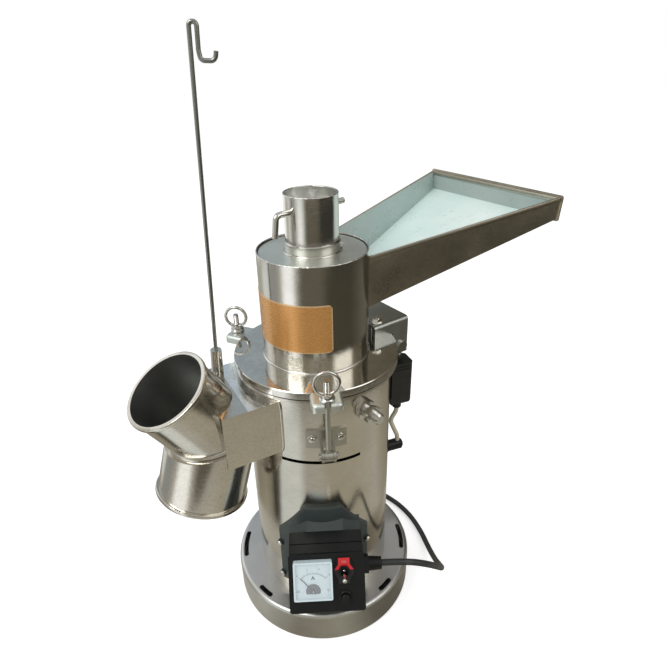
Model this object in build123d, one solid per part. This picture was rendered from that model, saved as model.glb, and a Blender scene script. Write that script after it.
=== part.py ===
from build123d import *
import os
from math import asin, cos, degrees, pi, radians, sin, sqrt, tan

# Herb grinder: an upright motor and milling drum on a round foot, with a feed cylinder on its
# lid, a tray hopper, a forked discharge fitting and a front control box.
# Millimetres. Z is up, the motor axis is the Z axis, and the floor is z = 0.
# A bearing is an angle around the motor axis: 0 points to +X and -90 to the front, -Y.

# Clearances
fit_gap = 0.3           # between pieces that are seated without touching
run_gap = 0.05          # radial clearance of a pin or shaft in its hole
sheet = 1.5             # stainless sheet of the foot, cylinder and hopper

# Foot
foot_radius = 125.8
foot_low = 2.0
foot_top = 47.5
foot_edge = 6.0
foot_ledge = 13.3       # how far the foot's top reaches under the drum
slot_in = 9.4           # from the foot's edge to the middle of its slots
slot_width = 6.5
slot_long = 46.0
slot_short = 24.0
plate_low = 9.0
plate_thick = 3.0
vent_radius = 10.0
vent_in = 20.0          # from the edge of the foot's hole to the middle of the vents
vent_count = 8
pad_radius = 13.0
pad_in = 27.8           # from the foot's edge to the middle of the pads
pad_count = 4
bench_bolt = 3.3

# Drum: the outer wall that runs from the foot to the lid
drum_radius = 91.3
drum_wall = 2.0
drum_height = 324.3
slit_height = 4.5
slit_drop = 6.4         # from the chamber's floor down to the slit
slit_from = -120.0
slit_to = -59.0
rim_out = 7.2
rim_thick = 3.2

# Motor, which hangs under the chamber by its top shield
shaft_radius = 12.5
shaft_below = 40.0      # below the motor's frame, for the fan
bearing_radius = 31.0
bearing_width = 17.0
ball_margin = 3.0       # from a bearing's faces to its ring of balls
seat_wall = 7.0
rib_reach = 8.0
rib_clear = 1.3         # between the ribs and the drum
rib_count = 16
rib_thick = 3.0
rib_short = 8.0
frame_wall = 4.0
frame_length = 172.0
stator_rise = 35.0
stator_length = 90.0
stator_bore = 40.0
air_gap = 0.6
winding_length = 17.0
winding_edge = 5.0
shield_thick = 10.0
shield_lip = 4.0        # of the lower shield past the frame
shield_space = 12.0     # between the top shield and the chamber's floor
fan_radius = 62.0
fan_thick = 3.0
fan_blades = 8
blade_height = 15.0
blade_thick = 2.0

# Milling chamber
chamber_wall = 4.0
floor_thick = 5.0
floor_hole = 14.5
liner_wall = 6.0
liner_height = 77.0
liner_drop = 5.8        # below the drum's rim
tooth_count = 40
tooth_depth = 2.2
tooth_width = 5.0
sieve_thick = 1.6
sieve_hole = 2.6
sieve_columns = 9
sieve_rows = 7
sieve_margin = 11.0
disc_radius = 56.0
disc_thick = 5.0
disc_rise = 17.0
disc_apart = 35.0
hub_radius = 22.0
hub_ends = 4.0
pin_radius = 4.0
pin_circle = 44.0
pin_ends = 3.0
hammer_count = 4
hammer_width = 20.0
hammer_height = 26.0
hammer_clear = 4.5      # from the tips of the hammers to the liner
hammer_tail = 9.0
nut_size = 17.0
nut_height = 12.0
shaft_in_nut = 2.0

# Lid and feed cylinder
gasket_thick = 1.5
gasket_bore = 72.0
lid_radius = 100.0
lid_thick = 9.8
lid_ledge = 5.5         # how far the lid reaches inside the cylinder
cylinder_radius = 63.2
cylinder_height = 126.6
crown_thick = 2.0
crown_drop = 1.6
tube_radius = 29.9
tube_wall = 1.5
tube_hang = 8.1
tube_stands = 62.9
collar_wall = 1.7
collar_height = 12.0
damper_bearing = 38.0
damper_below = 16.6     # below the top of the tube
damper_thick = 1.6
damper_rod = 3.4
damper_crank = 46.0
damper_drop = 23.0
damper_stub = 46.0
bead = 2.0
label_rise = 26.9
label_height = 57.0
label_from = -73.0
label_to = -187.0
label_thick = 0.6
label_corner = 5.0

# Hopper tray
hopper_bearing = 32.5
hopper_in = 18.2        # from the cylinder's wall to the tray's near end
hopper_near_half = 46.0
hopper_far_half = 108.3
hopper_length = 244.6
hopper_below = 7.7      # from the top of the cylinder to the near end of the rim
hopper_rise = 38.0      # of the rim to its far end
hopper_near_depth = 63.0
hopper_far_depth = 26.5
hopper_draft = 3.5
hopper_lip = 2.6
hopper_fold = 2.0
mouth_margin = 4.0

# Discharge fitting
duct_bearing = -154.0
duct_half = 54.0
duct_height = 70.0
duct_drop = 5.0         # below the top of the liner
duct_root = 9.3         # how far it starts inside the drum
duct_past = 2.0         # past the middle of the fork
duct_seam = 28.0        # from the middle of the fork back to its seam
fork_out = 47.7         # from the drum to the middle of the fork
fork_rise = 21.0
fork_root = 60.0        # from the middle of the fork back to the members' roots
chute_radius = 52.7
chute_tilt = 16.6
chute_length = 86.0
spout_radius = 46.6
spout_tilt = 31.0
spout_turn = 13.0
spout_length = 91.0
fitting_wall = 2.0
lip_bead = 2.6
lip_width = 5.2
lip_round = 1.3

# Bag hanger
hanger_in = 20.2        # from the middle of the fork
hanger_side = -24.5
hanger_lean = 2.8
hanger_radius = 2.1
hanger_length = 367.0
hanger_hook = 7.2
hanger_fall = 22.0
hanger_bend = 3.4
socket_radius = 6.4
socket_height = 41.0
socket_depth = 34.0

# Swing-bolt clamps
clamp_bearings = {"front": -85.5, "left": 153.5}
clamp_out = 13.5        # past the lid
clamp_drop = 63.8       # of the pivots below the drum's rim
bolt_radius = 3.0
bolt_stands = 23.9
eye_radius = 6.6
eye_width = 9.4
ear_thick = 3.0
ear_height = 15.0
bracket_thick = 2.5
bracket_half = 23.0
bracket_height = 25.0
bracket_rise = 3.0
screw_rise = 16.0
screw_radius = 4.4
screw_head = 2.0
pin_stands = 1.5
lug_half = 17.0
lug_flat = 5.5
lug_round = 4.0
lug_corner = 6.0
lug_slot = 7.0
ring_radius = 13.4
ring_wire = 1.8
ring_hub = 8.5
ring_hub_height = 8.6

# Hinge
hinge_bearing = 33.0
strap_half = 31.0
strap_wall = 2.5
strap_stands = 17.9
strap_gap = 3.8         # from the cylinder to the strap's near end
strap_end = 10.0        # past the hinge pin
strap_clear = 1.15      # between its cheeks and the lid's edge
strap_drop = 21.8       # of its cheeks below the drum's rim
strap_corner = 5.0
hinge_pin_radius = 5.0
hinge_pin_out = 20.7    # from the drum
hinge_pin_drop = 11.3
hinge_pin_head = 2.5
knuckle_half = 23.0
knuckle_wall = 5.0
knuckle_skin = 3.0
knuckle_margin = 4.0
knuckle_drop = 16.0
strap_bolt_in = 11.0
strap_bolt_side = 21.0

# Limit switch
switch_bearing = 18.0
switch_out = 22.3
switch_depth = 31.0
switch_width = 28.0
switch_length = 62.0
head_radius = 5.5
head_height = 6.0
plunger_radius = 3.0
plunger_travel = 2.0
plunger_stands = 4.0
plunger_sunk = 8.0
cable_radius = 3.2
cable_fall = 81.0
elbow_out = 32.7
elbow_radius = 8.0
elbow_seat = 6.8
gland_length = 13.0
gland_radius = 6.2

# Control box
box_bearing = -90.0
box_shift = 1.8
box_width = 88.0
box_out = 12.7
box_rise = 54.5
box_height = 80.0
box_wall = 3.0
panel_depth = 44.6
panel_rise = 45.3
panel_lean = 26.5
panel_width = 90.0
panel_length = 70.0
panel_thick = 4.0
panel_sunk = 1.0
groove_in = 16.0
groove_wide = 1.2
groove_deep = 3.2
saddle_half = 57.0
saddle_drop = 32.0
saddle_height = 139.0
saddle_slope = 49.0
saddle_horn = 23.0
saddle_skin = 5.0
saddle_screw_rises = (10.0, 68.0)
meter_side = 45.6
meter_depth = 8.0
meter_shift = (-16.3, 5.7)
needle_pin = 0.6
toggle_shift = (20.6, 14.0)
button_shift = (21.4, -18.0)
lever_length = 17.0
lever_tilt = 14.0
button_radius = 5.2
button_sunk = 5.0
button_stands = 6.0
button_travel = 2.0
cord_gland_depth = 17.0
cord_gland_rise = 39.0
cord_gland_radius = 9.5
cord_gland_length = 24.0

# Chamber plug: a threaded stud with its nuts on the drum wall
plug_bearing = -56.5
plug_drop = 21.0        # below the top of the liner
plug_radius = 6.5
plug_length = 30.0

# Mains cord
cord_radius = 4.0
cord_on_floor = cord_radius + 0.05
coil_centre = (-6.0, 202.0)
coil_radius = 46.0
coil_band = 16.2
coil_outer = 50.2       # of the coil's outer turn
cord_route = [
    (101.0, -121.0, 141.0), (129.0, -117.0, 129.0), (149.0, -103.0, 104.0),
    (160.0, -82.0, 75.0), (165.0, -56.0, 47.0), (166.0, -26.0, 23.0),
    (164.0, 9.0, 8.0), (159.0, 46.0, cord_on_floor), (146.0, 84.0, cord_on_floor),
    (122.0, 118.0, cord_on_floor), (90.0, 143.0, cord_on_floor),
]
plug_size = (36.0, 26.0, 25.9)
plug_out = 60.0         # along the cord from where it leaves the coil
plug_tail = 18.0
plug_pins = (18.0, 14.0, 2.4)

# Radii that follow from the ones above
drum_bore = drum_radius - drum_wall
rim_radius = drum_radius + rim_out
foot_hole = drum_radius - foot_ledge
slot_radius = foot_radius - slot_in
vent_circle = foot_hole - vent_in
pad_circle = foot_radius - pad_in
frame_radius = drum_bore - rib_clear - rib_reach
shield_radius = drum_bore - fit_gap
liner_radius = drum_bore - fit_gap
liner_bore = liner_radius - liner_wall
hammer_reach = liner_bore - hammer_clear - pin_circle
lid_bore = cylinder_radius - lid_ledge
collar_radius = tube_radius + collar_wall
clamp_circle = lid_radius + clamp_out
hopper_near = cylinder_radius - hopper_in
hopper_far = hopper_near + hopper_length
fork_reach = drum_radius + fork_out
duct_end = fork_reach + duct_past
duct_edge = fork_reach - duct_seam
hanger_along = fork_reach - hanger_in
hinge_pin_along = drum_radius + hinge_pin_out
strap_inner = cylinder_radius + strap_gap
strap_step = sqrt(lid_radius ** 2 - (strap_half - strap_wall) ** 2) + strap_clear
strap_outer = hinge_pin_along + strap_end
strap_bolt_along = strap_inner + strap_bolt_in
switch_radius = drum_radius + switch_out
elbow_reach = drum_radius + elbow_out
box_back = drum_radius + box_out
panel_out = box_back + panel_depth
cord_gland_out = box_back + cord_gland_depth

# Heights, stacked up to the drum's rim
rim_top = foot_top + drum_height
lid_low = rim_top + gasket_thick
lid_top = lid_low + lid_thick
liner_top = rim_top - liner_drop
floor_top = liner_top - liner_height
floor_low = floor_top - floor_thick
slit_low = floor_low - slit_drop
frame_top = floor_low - shield_space - shield_thick
frame_low = frame_top - frame_length
stator_low = frame_low + stator_rise
shaft_low = frame_low - shaft_below
disc_low = floor_top + disc_rise
nut_low = disc_low + disc_apart + disc_thick + hub_ends
shaft_top = nut_low + shaft_in_nut
hammer_low = disc_low + disc_thick + (disc_apart - disc_thick - hammer_height) / 2
duct_high = liner_top - duct_drop
duct_low = duct_high - duct_height
fork_height = duct_low + fork_rise
plug_height = liner_top - plug_drop

# Heights on the lid, the hinge and the switch
cylinder_top = lid_top + cylinder_height
crown_top = cylinder_top - crown_drop
tube_low = crown_top - tube_hang
tube_top = crown_top + tube_stands
damper_height = tube_top - damper_below
label_low = lid_top + label_rise
label_high = label_low + label_height
hopper_rim_near = cylinder_top - hopper_below
hopper_rim_far = hopper_rim_near + hopper_rise
hopper_floor_near = hopper_rim_near - hopper_near_depth
hopper_floor_far = hopper_rim_far - hopper_far_depth
hanger_top = duct_high + hanger_length
clamp_pivot = rim_top - clamp_drop
bolt_top = lid_top + bolt_stands
strap_top = lid_top + strap_stands
strap_low = rim_top - strap_drop
hinge_pin_height = rim_top - hinge_pin_drop
switch_high = strap_low - head_height - plunger_stands
switch_low = switch_high - switch_length
elbow_height = switch_low - cable_fall

# Heights on the control box
box_low = foot_top + box_rise
box_high = box_low + box_height
panel_height = box_low + panel_rise
cord_gland_height = box_low + cord_gland_rise
saddle_low = box_low - saddle_drop
saddle_top = saddle_low + saddle_height
saddle_shoulder = saddle_top - saddle_slope
button_pocket = button_sunk + button_travel + 2.0

sieve_turn = degrees(asin((duct_half - fitting_wall) / liner_radius)) + 2


def at(bearing, radius=0.0, height=0.0):
    """Frame at a bearing: its X points away from the motor axis and its Z points up."""
    return Rot(0, 0, bearing) * Pos(radius, 0, height)


def ring(outer, low, high, inner=0.0):
    """Upright disc between two heights, bored through when an inner radius is given."""
    body = Pos(0, 0, (low + high) / 2) * Cylinder(outer, high - low)
    if inner > 0:
        body -= Pos(0, 0, (low + high) / 2) * Cylinder(inner, high - low + 2)
    return body


def block(x0, x1, y0, y1, z0, z1):
    """Box between two corners."""
    return Pos((x0 + x1) / 2, (y0 + y1) / 2, (z0 + z1) / 2) * Box(x1 - x0, y1 - y0, z1 - z0)


def rod(start, end, radius, tip=None):
    """Round bar from one point to another, tapered when a tip radius is given."""
    start, end = Vector(start), Vector(end)
    length = (end - start).length
    body = Cylinder(radius, length) if tip is None else Cone(radius, tip, length)
    return Plane(origin=start, z_dir=end - start) * Pos(0, 0, length / 2) * body


def sector(inner, outer, low, high, start, end):
    """Curved wall between two bearings."""
    wall = make_face(
        CenterArc((0, 0), outer, start, end - start).edges()
        + CenterArc((0, 0), inner, start, end - start).edges()
        + Line((outer * cos(radians(start)), outer * sin(radians(start))),
               (inner * cos(radians(start)), inner * sin(radians(start)))).edges()
        + Line((outer * cos(radians(end)), outer * sin(radians(end))),
               (inner * cos(radians(end)), inner * sin(radians(end)))).edges()
    )
    return Pos(0, 0, low) * extrude(wall, high - low, dir=(0, 0, 1))


def swept(points, radius, bends):
    """Round wire along straight runs joined by arcs."""
    path = FilletPolyline(*points, radius=bends)
    start = Plane(origin=path @ 0, z_dir=path % 0)
    return sweep(start * Circle(radius), path=path)


def bend_radii(points, share=0.45):
    """The largest arc that each corner's two runs allow."""
    radii = []
    for before, corner, after in zip(points, points[1:], points[2:]):
        arriving = Vector(corner) - Vector(before)
        leaving = Vector(after) - Vector(corner)
        half_turn = radians(arriving.get_angle(leaving)) / 2
        radii.append(share * min(arriving.length, leaving.length) / tan(half_turn))
    return radii


# Foot and drum

def make_foot():
    """Spun dish, open underneath, with air slots round its top."""
    outer = ring(foot_radius, foot_low, foot_top)
    outer = fillet(outer.edges().sort_by(Axis.Z)[-1], foot_edge)
    inner = ring(foot_radius - sheet, foot_low - 1, foot_top - sheet)
    inner = fillet(inner.edges().sort_by(Axis.Z)[-1], foot_edge - sheet)
    dish = outer - inner - ring(foot_hole, foot_low, foot_top + 1)
    for bearing in range(0, 360, 45):
        length = slot_short if bearing % 90 else slot_long
        turn = degrees((length - slot_width) / slot_radius)
        arc = CenterArc((0, 0), slot_radius, bearing - turn / 2, turn)
        dish -= Pos(0, 0, foot_top - 3) * extrude(SlotArc(arc, slot_width), 6, dir=(0, 0, 1))
    return dish


def bench_holes():
    """Bolt holes through the pads and the bottom plate."""
    hole = rod((pad_circle, 0, -1), (pad_circle, 0, plate_low + 3 * plate_thick), bench_bolt)
    return [Rot(0, 0, 45 + 360 / pad_count * count) * hole for count in range(pad_count)]


def make_foot_plate():
    """Bottom plate that carries the pads, with a ring of air holes."""
    plate = ring(foot_radius - sheet - fit_gap, plate_low, plate_low + plate_thick)
    for count in range(vent_count):
        vent = at(360 / vent_count * count, vent_circle, plate_low)
        plate -= vent * Cylinder(vent_radius, 4 * plate_thick)
    return plate - bench_holes()


def make_pads():
    """Rubber pads under the bottom plate."""
    pads = []
    for count in range(pad_count):
        pad = rod((0, 0, 0), (0, 0, plate_low), pad_radius * 0.86, pad_radius)
        pad -= ring(bench_bolt, -1, plate_low + 1)
        pads.append(at(45 + 360 / pad_count * count, pad_circle) * pad)
    return Compound(pads)


def duct_window(extra=0.0):
    """Opening that the chamber shares with the discharge duct."""
    half = duct_half - fitting_wall + extra
    low, high = duct_low + fitting_wall - extra, duct_high - fitting_wall + extra
    return at(duct_bearing) * block(liner_bore - 20, drum_radius + 10, -half, half, low, high)



def make_drum():
    """Outer wall with its top rim, the dark air slit and the discharge window."""
    wall = ring(drum_radius, foot_top, rim_top, drum_bore)
    wall += ring(rim_radius, rim_top - rim_thick, rim_top, drum_bore)
    wall -= sector(drum_bore - 2, drum_radius + 2, slit_low, slit_low + slit_height,
                   slit_from, slit_to)
    return wall - duct_window()


# Motor

def make_motor_frame():
    """Ribbed tube round the stator."""
    tube = ring(frame_radius, frame_low, frame_top, frame_radius - frame_wall)
    rib = block(frame_radius - 1, frame_radius + rib_reach, -rib_thick / 2, rib_thick / 2,
                frame_low + rib_short, frame_top - rib_short)
    for count in range(rib_count):
        tube += Rot(0, 0, 360 / rib_count * count) * rib
    return tube


def make_shield(low, bearing_low, radius):
    """End shield: a plate with the seat of a bearing."""
    plate = ring(radius, low, low + shield_thick, shaft_radius + 2)
    seat = ring(bearing_radius + seat_wall, bearing_low, bearing_low + bearing_width,
                bearing_radius)
    return plate + seat


def make_bearing(low):
    """Ball bearing, shown as its two races and the ring of balls between them."""
    high = low + bearing_width
    race = (bearing_radius - shaft_radius) * 0.3
    outer = ring(bearing_radius, low, high, bearing_radius - race)
    inner = ring(shaft_radius + race, low, high, shaft_radius + run_gap)
    middle = ring(bearing_radius - race, low + ball_margin, high - ball_margin,
                  shaft_radius + race)
    return outer + inner + middle


def make_windings():
    """The coil ends that stand out of both ends of the stator."""
    inner, outer = stator_bore + 4, frame_radius - frame_wall - 8
    stator_high = stator_low + stator_length
    lower = ring(outer, stator_low - winding_length, stator_low, inner)
    upper = ring(outer, stator_high, stator_high + winding_length, inner)
    lower = fillet(lower.edges().sort_by(Axis.Z)[:2], winding_edge)
    upper = fillet(upper.edges().sort_by(Axis.Z)[-2:], winding_edge)
    return Compound([lower, upper])


def make_fan():
    """Cooling fan under the motor."""
    low = shaft_low + 4
    fan = ring(fan_radius, low, low + fan_thick, shaft_radius)
    fan += ring(shaft_radius + 6, low, low + fan_thick + blade_height, shaft_radius)
    blade = block(shaft_radius + 4, fan_radius - 2, -blade_thick / 2, blade_thick / 2, low + 1,
                  low + fan_thick + blade_height)
    for count in range(fan_blades):
        fan += Rot(0, 0, 360 / fan_blades * count) * blade
    return fan


def make_shaft():
    """Motor shaft that also carries the hammer rotor."""
    shaft = ring(shaft_radius, shaft_low, shaft_top)
    return chamfer(shaft.edges().filter_by(GeomType.CIRCLE), 1.5)


# Milling chamber

def make_chamber_floor():
    """Floor of the chamber on a wall that stands on the motor's top shield."""
    plate = ring(liner_radius, floor_low, floor_top, floor_hole)
    wall = ring(liner_radius, frame_top + shield_thick, floor_low, liner_radius - chamber_wall)
    wall -= sector(liner_radius - 2 * chamber_wall, liner_radius + 2, slit_low,
                   slit_low + slit_height, slit_from, slit_to)
    return plate + wall


def make_liner():
    """Toothed ring that the hammers drive the herbs against, with the sieve's seat."""
    liner = ring(liner_radius, floor_top, liner_top, liner_bore)
    groove = block(liner_bore - 1, liner_bore + tooth_depth, -tooth_width / 2, tooth_width / 2,
                   floor_top - 1, liner_top + 1)
    pitch = 360 / tooth_count
    half_turn = 180
    for count in range(tooth_count):
        bearing = duct_bearing + half_turn + pitch * (count - (tooth_count - 1) / 2)
        if abs(count - (tooth_count - 1) / 2) * pitch < half_turn - sieve_turn - pitch / 2:
            liner -= Rot(0, 0, bearing) * groove
    liner -= duct_window(extra=-3.0)
    seat = sector(liner_radius - sieve_thick - fit_gap, liner_radius + 1,
                  duct_low, duct_high, duct_bearing - sieve_turn - 1, duct_bearing + sieve_turn + 1)
    return liner - seat


def make_sieve():
    """Curved perforated plate in the discharge window."""
    sieve = sector(liner_radius - sieve_thick, liner_radius, duct_low + fit_gap,
                   duct_high - fit_gap, duct_bearing - sieve_turn, duct_bearing + sieve_turn)
    turn = 2 * (sieve_turn - 8) / (sieve_columns - 1)
    rise = (duct_height - 2 * sieve_margin) / (sieve_rows - 1)
    punch = rod((liner_radius - 6, 0, 0), (liner_radius + 4, 0, 0), sieve_hole)
    holes = []
    for column in range(sieve_columns):
        for row in range(sieve_rows):
            bearing = duct_bearing + turn * (column - (sieve_columns - 1) / 2)
            holes.append(at(bearing, 0, duct_low + sieve_margin + rise * row) * punch)
    return sieve - holes


def make_hammer_rotor():
    """Two discs on a hub, tied by the pins that the hammers swing on."""
    upper = disc_low + disc_apart
    rotor = ring(hub_radius, floor_top + hub_ends, nut_low, shaft_radius)
    for low in (disc_low, upper):
        rotor += ring(disc_radius, low, low + disc_thick, shaft_radius)
    for count in range(hammer_count):
        pin = rod((pin_circle, 0, disc_low - pin_ends),
                  (pin_circle, 0, upper + disc_thick + pin_ends), pin_radius)
        rotor += Rot(0, 0, 45 + 360 / hammer_count * count) * pin
    return rotor


def make_hammer(bearing):
    """Swinging hammer with a stepped striking edge."""
    half = hammer_width / 2
    high = hammer_low + hammer_height
    hammer = block(-hammer_tail, hammer_reach, -half, half, hammer_low, high)
    hammer = fillet(hammer.edges().filter_by(Axis.Z).sort_by(Axis.X)[:2], half * 0.85)
    for side in (-1, 1):
        for level in range(3):
            step = hammer_low + hammer_height * (level + 0.25) / 3
            inner, outer = sorted((side * (half - 3), side * (half + 1)))
            hammer -= block(hammer_reach - 4, hammer_reach + 1, inner, outer,
                            step, step + hammer_height / 6)
    hammer -= rod((0, 0, hammer_low - 1), (0, 0, high + 1), pin_radius + run_gap)
    return at(bearing, pin_circle) * hammer


def make_rotor_nut():
    """Dome nut that holds the rotor on the shaft."""
    nut = Pos(0, 0, nut_low) * extrude(RegularPolygon(nut_size, 6), nut_height, dir=(0, 0, 1))
    nut -= ring(shaft_radius, nut_low - 1, shaft_top)
    return chamfer(nut.edges().sort_by(Axis.Z)[-6:], 2)


# Lid and feed cylinder

def make_lid():
    """Lid plate with the slotted lugs that the swing bolts drop into."""
    lid = ring(lid_radius, lid_low, lid_top)
    lid = chamfer(lid.edges().filter_by(GeomType.CIRCLE), 0.8)
    tip = clamp_circle + lug_flat + lug_round
    for bearing in clamp_bearings.values():
        lug = block(lid_radius - 20, tip, -lug_half, lug_half, lid_low, lid_top)
        lug = fillet(lug.edges().filter_by(Axis.Z).sort_by(Axis.X)[-2:], lug_corner)
        outer = lug.faces().sort_by(Axis.Z)[-1].edges().sort_by(Axis.X)[-1]
        lug = fillet(outer, lug_round)
        lid += Rot(0, 0, bearing) * lug
    for bearing in clamp_bearings.values():
        slot = block(clamp_circle, clamp_circle + 20, -lug_slot / 2, lug_slot / 2,
                     lid_low - 1, lid_top + 1)
        slot += ring(lug_slot / 2, lid_low - 1, lid_top + 1).moved(Location((clamp_circle, 0, 0)))
        lid -= Rot(0, 0, bearing) * slot
    return lid - ring(lid_bore, lid_low - 1, lid_top + 1)


def make_feed_cylinder():
    """Feed cylinder with its weld bead and the mouth that the hopper opens into."""
    wall = ring(cylinder_radius, lid_top, cylinder_top, cylinder_radius - sheet)
    foot = Pos(0, 0, lid_top) * Torus(cylinder_radius, bead)
    wall += foot & ring(lid_radius, lid_top, lid_top + 10, cylinder_radius - sheet)
    half = hopper_near_half - mouth_margin
    mouth = block(cylinder_radius - 43, cylinder_radius + 27, -half, half,
                  hopper_floor_near + mouth_margin - 1, hopper_rim_near - mouth_margin + 1)
    return wall - at(hopper_bearing) * mouth


def make_crown():
    """Recessed top plate of the feed cylinder."""
    plate = ring(cylinder_radius - sheet, crown_top - crown_thick, crown_top, tube_radius)
    return plate


def make_feed_tube():
    """Air inlet tube, welded in a collar, with bearings for the damper."""
    tube = ring(tube_radius, tube_low, tube_top, tube_radius - tube_wall)
    collar = ring(collar_radius, crown_top, crown_top + collar_height, tube_radius - tube_wall)
    tube += chamfer(collar.edges().sort_by(Axis.Z)[-2:].sort_by(lambda e: e.radius)[-1], 0.8)
    weld = Pos(0, 0, crown_top) * Torus(collar_radius, bead)
    tube += weld & ring(lid_radius, crown_top, crown_top + 10, collar_radius - 1)
    screw = rod((collar_radius - 2, 0, crown_top + 6), (collar_radius + 2.5, 0, crown_top + 6), 3)
    tube += at(-6) * screw
    through = rod((-2 * tube_radius, 0, damper_height), (2 * tube_radius, 0, damper_height),
                  damper_rod + run_gap)
    return tube - Rot(0, 0, damper_bearing) * through


def make_damper():
    """Butterfly disc on its spindle, with the cranked handle on the left."""
    spindle = rod((-damper_crank + 6, 0, damper_height), (damper_stub, 0, damper_height),
                  damper_rod)
    bend = [(-damper_crank + 7, 0, damper_height), (-damper_crank, 0, damper_height),
            (-damper_crank - 3, 0, damper_height - damper_drop)]
    handle = swept(bend, damper_rod, [5.5])
    radius = tube_radius - tube_wall - 1.0
    disc = ring(radius, damper_height - damper_thick / 2, damper_height + damper_thick / 2)
    return Rot(0, 0, damper_bearing) * (spindle + handle + disc)


def make_label():
    """Bare plate that wraps the feed cylinder's front left."""
    plate = sector(cylinder_radius, cylinder_radius + label_thick, label_low, label_high,
                   label_to, label_from)
    corners = [edge for edge in plate.edges() if edge.length < 2 * label_thick]
    return fillet(corners, label_corner)


# Hopper

def hopper_shell(inset):
    """Solid of the tray between its near and far ends, drawn in by an inset."""
    near = hopper_near - 7
    far = hopper_far - inset
    slope_top = (hopper_rim_far - hopper_rim_near) / (hopper_far - hopper_near)
    slope_low = (hopper_floor_far - hopper_floor_near) / (hopper_far - hopper_near)
    splay = (hopper_far_half - hopper_near_half) / (hopper_far - hopper_near)
    sections = []
    for along in (near, far):
        reach = along - hopper_near
        top = hopper_rim_near + slope_top * reach + (20 if inset else 0)
        low = hopper_floor_near + slope_low * reach + inset
        half = hopper_near_half + splay * reach - inset
        draft = hopper_draft * (top - low) / 60
        corners = [(-half, top), (half, top), (half - draft, low), (-half + draft, low)]
        plane = Plane(origin=(along, 0, 0), x_dir=(0, 1, 0), z_dir=(1, 0, 0))
        sections.append(plane * Polygon(*corners, align=None))
    return loft(sections, ruled=True)


def make_hopper():
    """Folded tray that slopes down into the feed cylinder."""
    tray = hopper_shell(0) - hopper_shell(sheet)
    frame = hopper_shell(0)
    rim = frame.faces().sort_by(Axis.Z)[-1]
    lip = extrude(offset(rim, hopper_lip), hopper_fold)
    lip -= extrude(offset(rim, -sheet), hopper_fold + 1)
    tray += lip
    tray -= ring(cylinder_radius, hopper_floor_near - 30, hopper_rim_far + 30)
    return at(hopper_bearing) * tray


# Discharge fitting, built with X along the duct

def chute_way():
    """Direction of the chute, out of its mouth."""
    return Vector(sin(radians(chute_tilt)), 0, -cos(radians(chute_tilt)))


def spout_way():
    """Direction of the bag spout, out of its mouth."""
    level = sin(radians(spout_tilt))
    turn = radians(spout_turn)
    return Vector(level * cos(turn), level * sin(turn), cos(radians(spout_tilt)))


def fork_bodies(inset):
    """Duct, chute and spout as solids; an inset draws them in for the hollow."""
    down = chute_way()
    up = spout_way()
    fork = Vector(fork_reach, 0, fork_height)
    extra = 3.0 if inset else 0.0
    chute = rod(fork - down * fork_root, fork + down * (chute_length + extra), chute_radius - inset)
    spout = rod(fork - up * fork_root, fork + up * (spout_length + extra), spout_radius - inset)
    mitre = Plane(origin=fork - Vector(0, 0, 1) * inset, z_dir=up - down)
    size = 400
    below = mitre * Pos(0, 0, -size / 2) * Box(size, size, size)
    above = mitre * Pos(0, 0, size / 2) * Box(size, size, size)
    near = drum_bore - duct_root - (10.0 if inset else 0.0)
    duct = block(near, duct_end - inset, -duct_half + inset, duct_half - inset,
                 duct_low + inset, duct_high - inset)
    return duct, chute & below, spout & above


def mouth_lip(way, radius, length):
    """Rolled lip round a mouth, with a narrow land that a band can grip."""
    middle = Vector(fork_reach, 0, fork_height) + way * (length - lip_width / 2)
    lip = Cylinder(radius + lip_bead, lip_width)
    lip = fillet(lip.edges().filter_by(GeomType.CIRCLE), lip_round)
    return Plane(origin=middle, z_dir=way) * lip


def make_fitting():
    """Whole discharge fitting: the outside of its three members less their inside."""
    duct, chute, spout = fork_bodies(0)
    duct_in, chute_in, spout_in = fork_bodies(fitting_wall)
    body = duct + chute + spout
    for way, radius, length in ((chute_way(), chute_radius, chute_length),
                                (spout_way(), spout_radius, spout_length)):
        body += mouth_lip(way, radius, length)
    body = body - duct_in - chute_in - spout_in
    return body - ring(drum_radius, duct_low - chute_length, duct_high + spout_length)


def split_fitting():
    """The fitting's three pieces: the box duct, the chute below and the spout above."""
    body = make_fitting()
    size = 400
    duct_side = block(-size, duct_edge, -size, size, duct_low, size * 2)
    upper = block(duct_edge, size, -size, size, fork_height, size * 2)
    lower = block(-size, size, -size, size, -size, fork_height) - duct_side
    return [Rot(0, 0, duct_bearing) * (body & part) for part in (duct_side, lower, upper)]


# Bag hanger

def hanger_frame():
    """Frame at the hanger's foot on the duct, its Z along the leaning rod."""
    return (Rot(0, 0, duct_bearing) * Pos(hanger_along, hanger_side, duct_high)
            * Rot(0, 0, -duct_bearing) * Rot(0, hanger_lean, 0))


def make_socket():
    """Tapered socket of the hanger rod with its clamping screw."""
    socket = rod((0, 0, 1), (0, 0, socket_height), socket_radius + 0.8, socket_radius)
    socket -= rod((0, 0, socket_height - socket_depth), (0, 0, socket_height + 1),
                  hanger_radius + run_gap)
    screw = rod((0, -socket_radius + 1, 12), (0, -socket_radius - 8, 12), 2.5)
    screw += rod((0, -socket_radius - 6, 12), (0, -socket_radius - 12, 12), 6.0)
    socket = hanger_frame() * (socket + screw)
    base = (Rot(0, 0, duct_bearing) * Pos(hanger_along, hanger_side, duct_high + 1.2)
            * Cylinder(socket_radius + 0.9, 2.4))
    return socket + base - Rot(0, 0, duct_bearing) * fork_bodies(0)[2]


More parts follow.
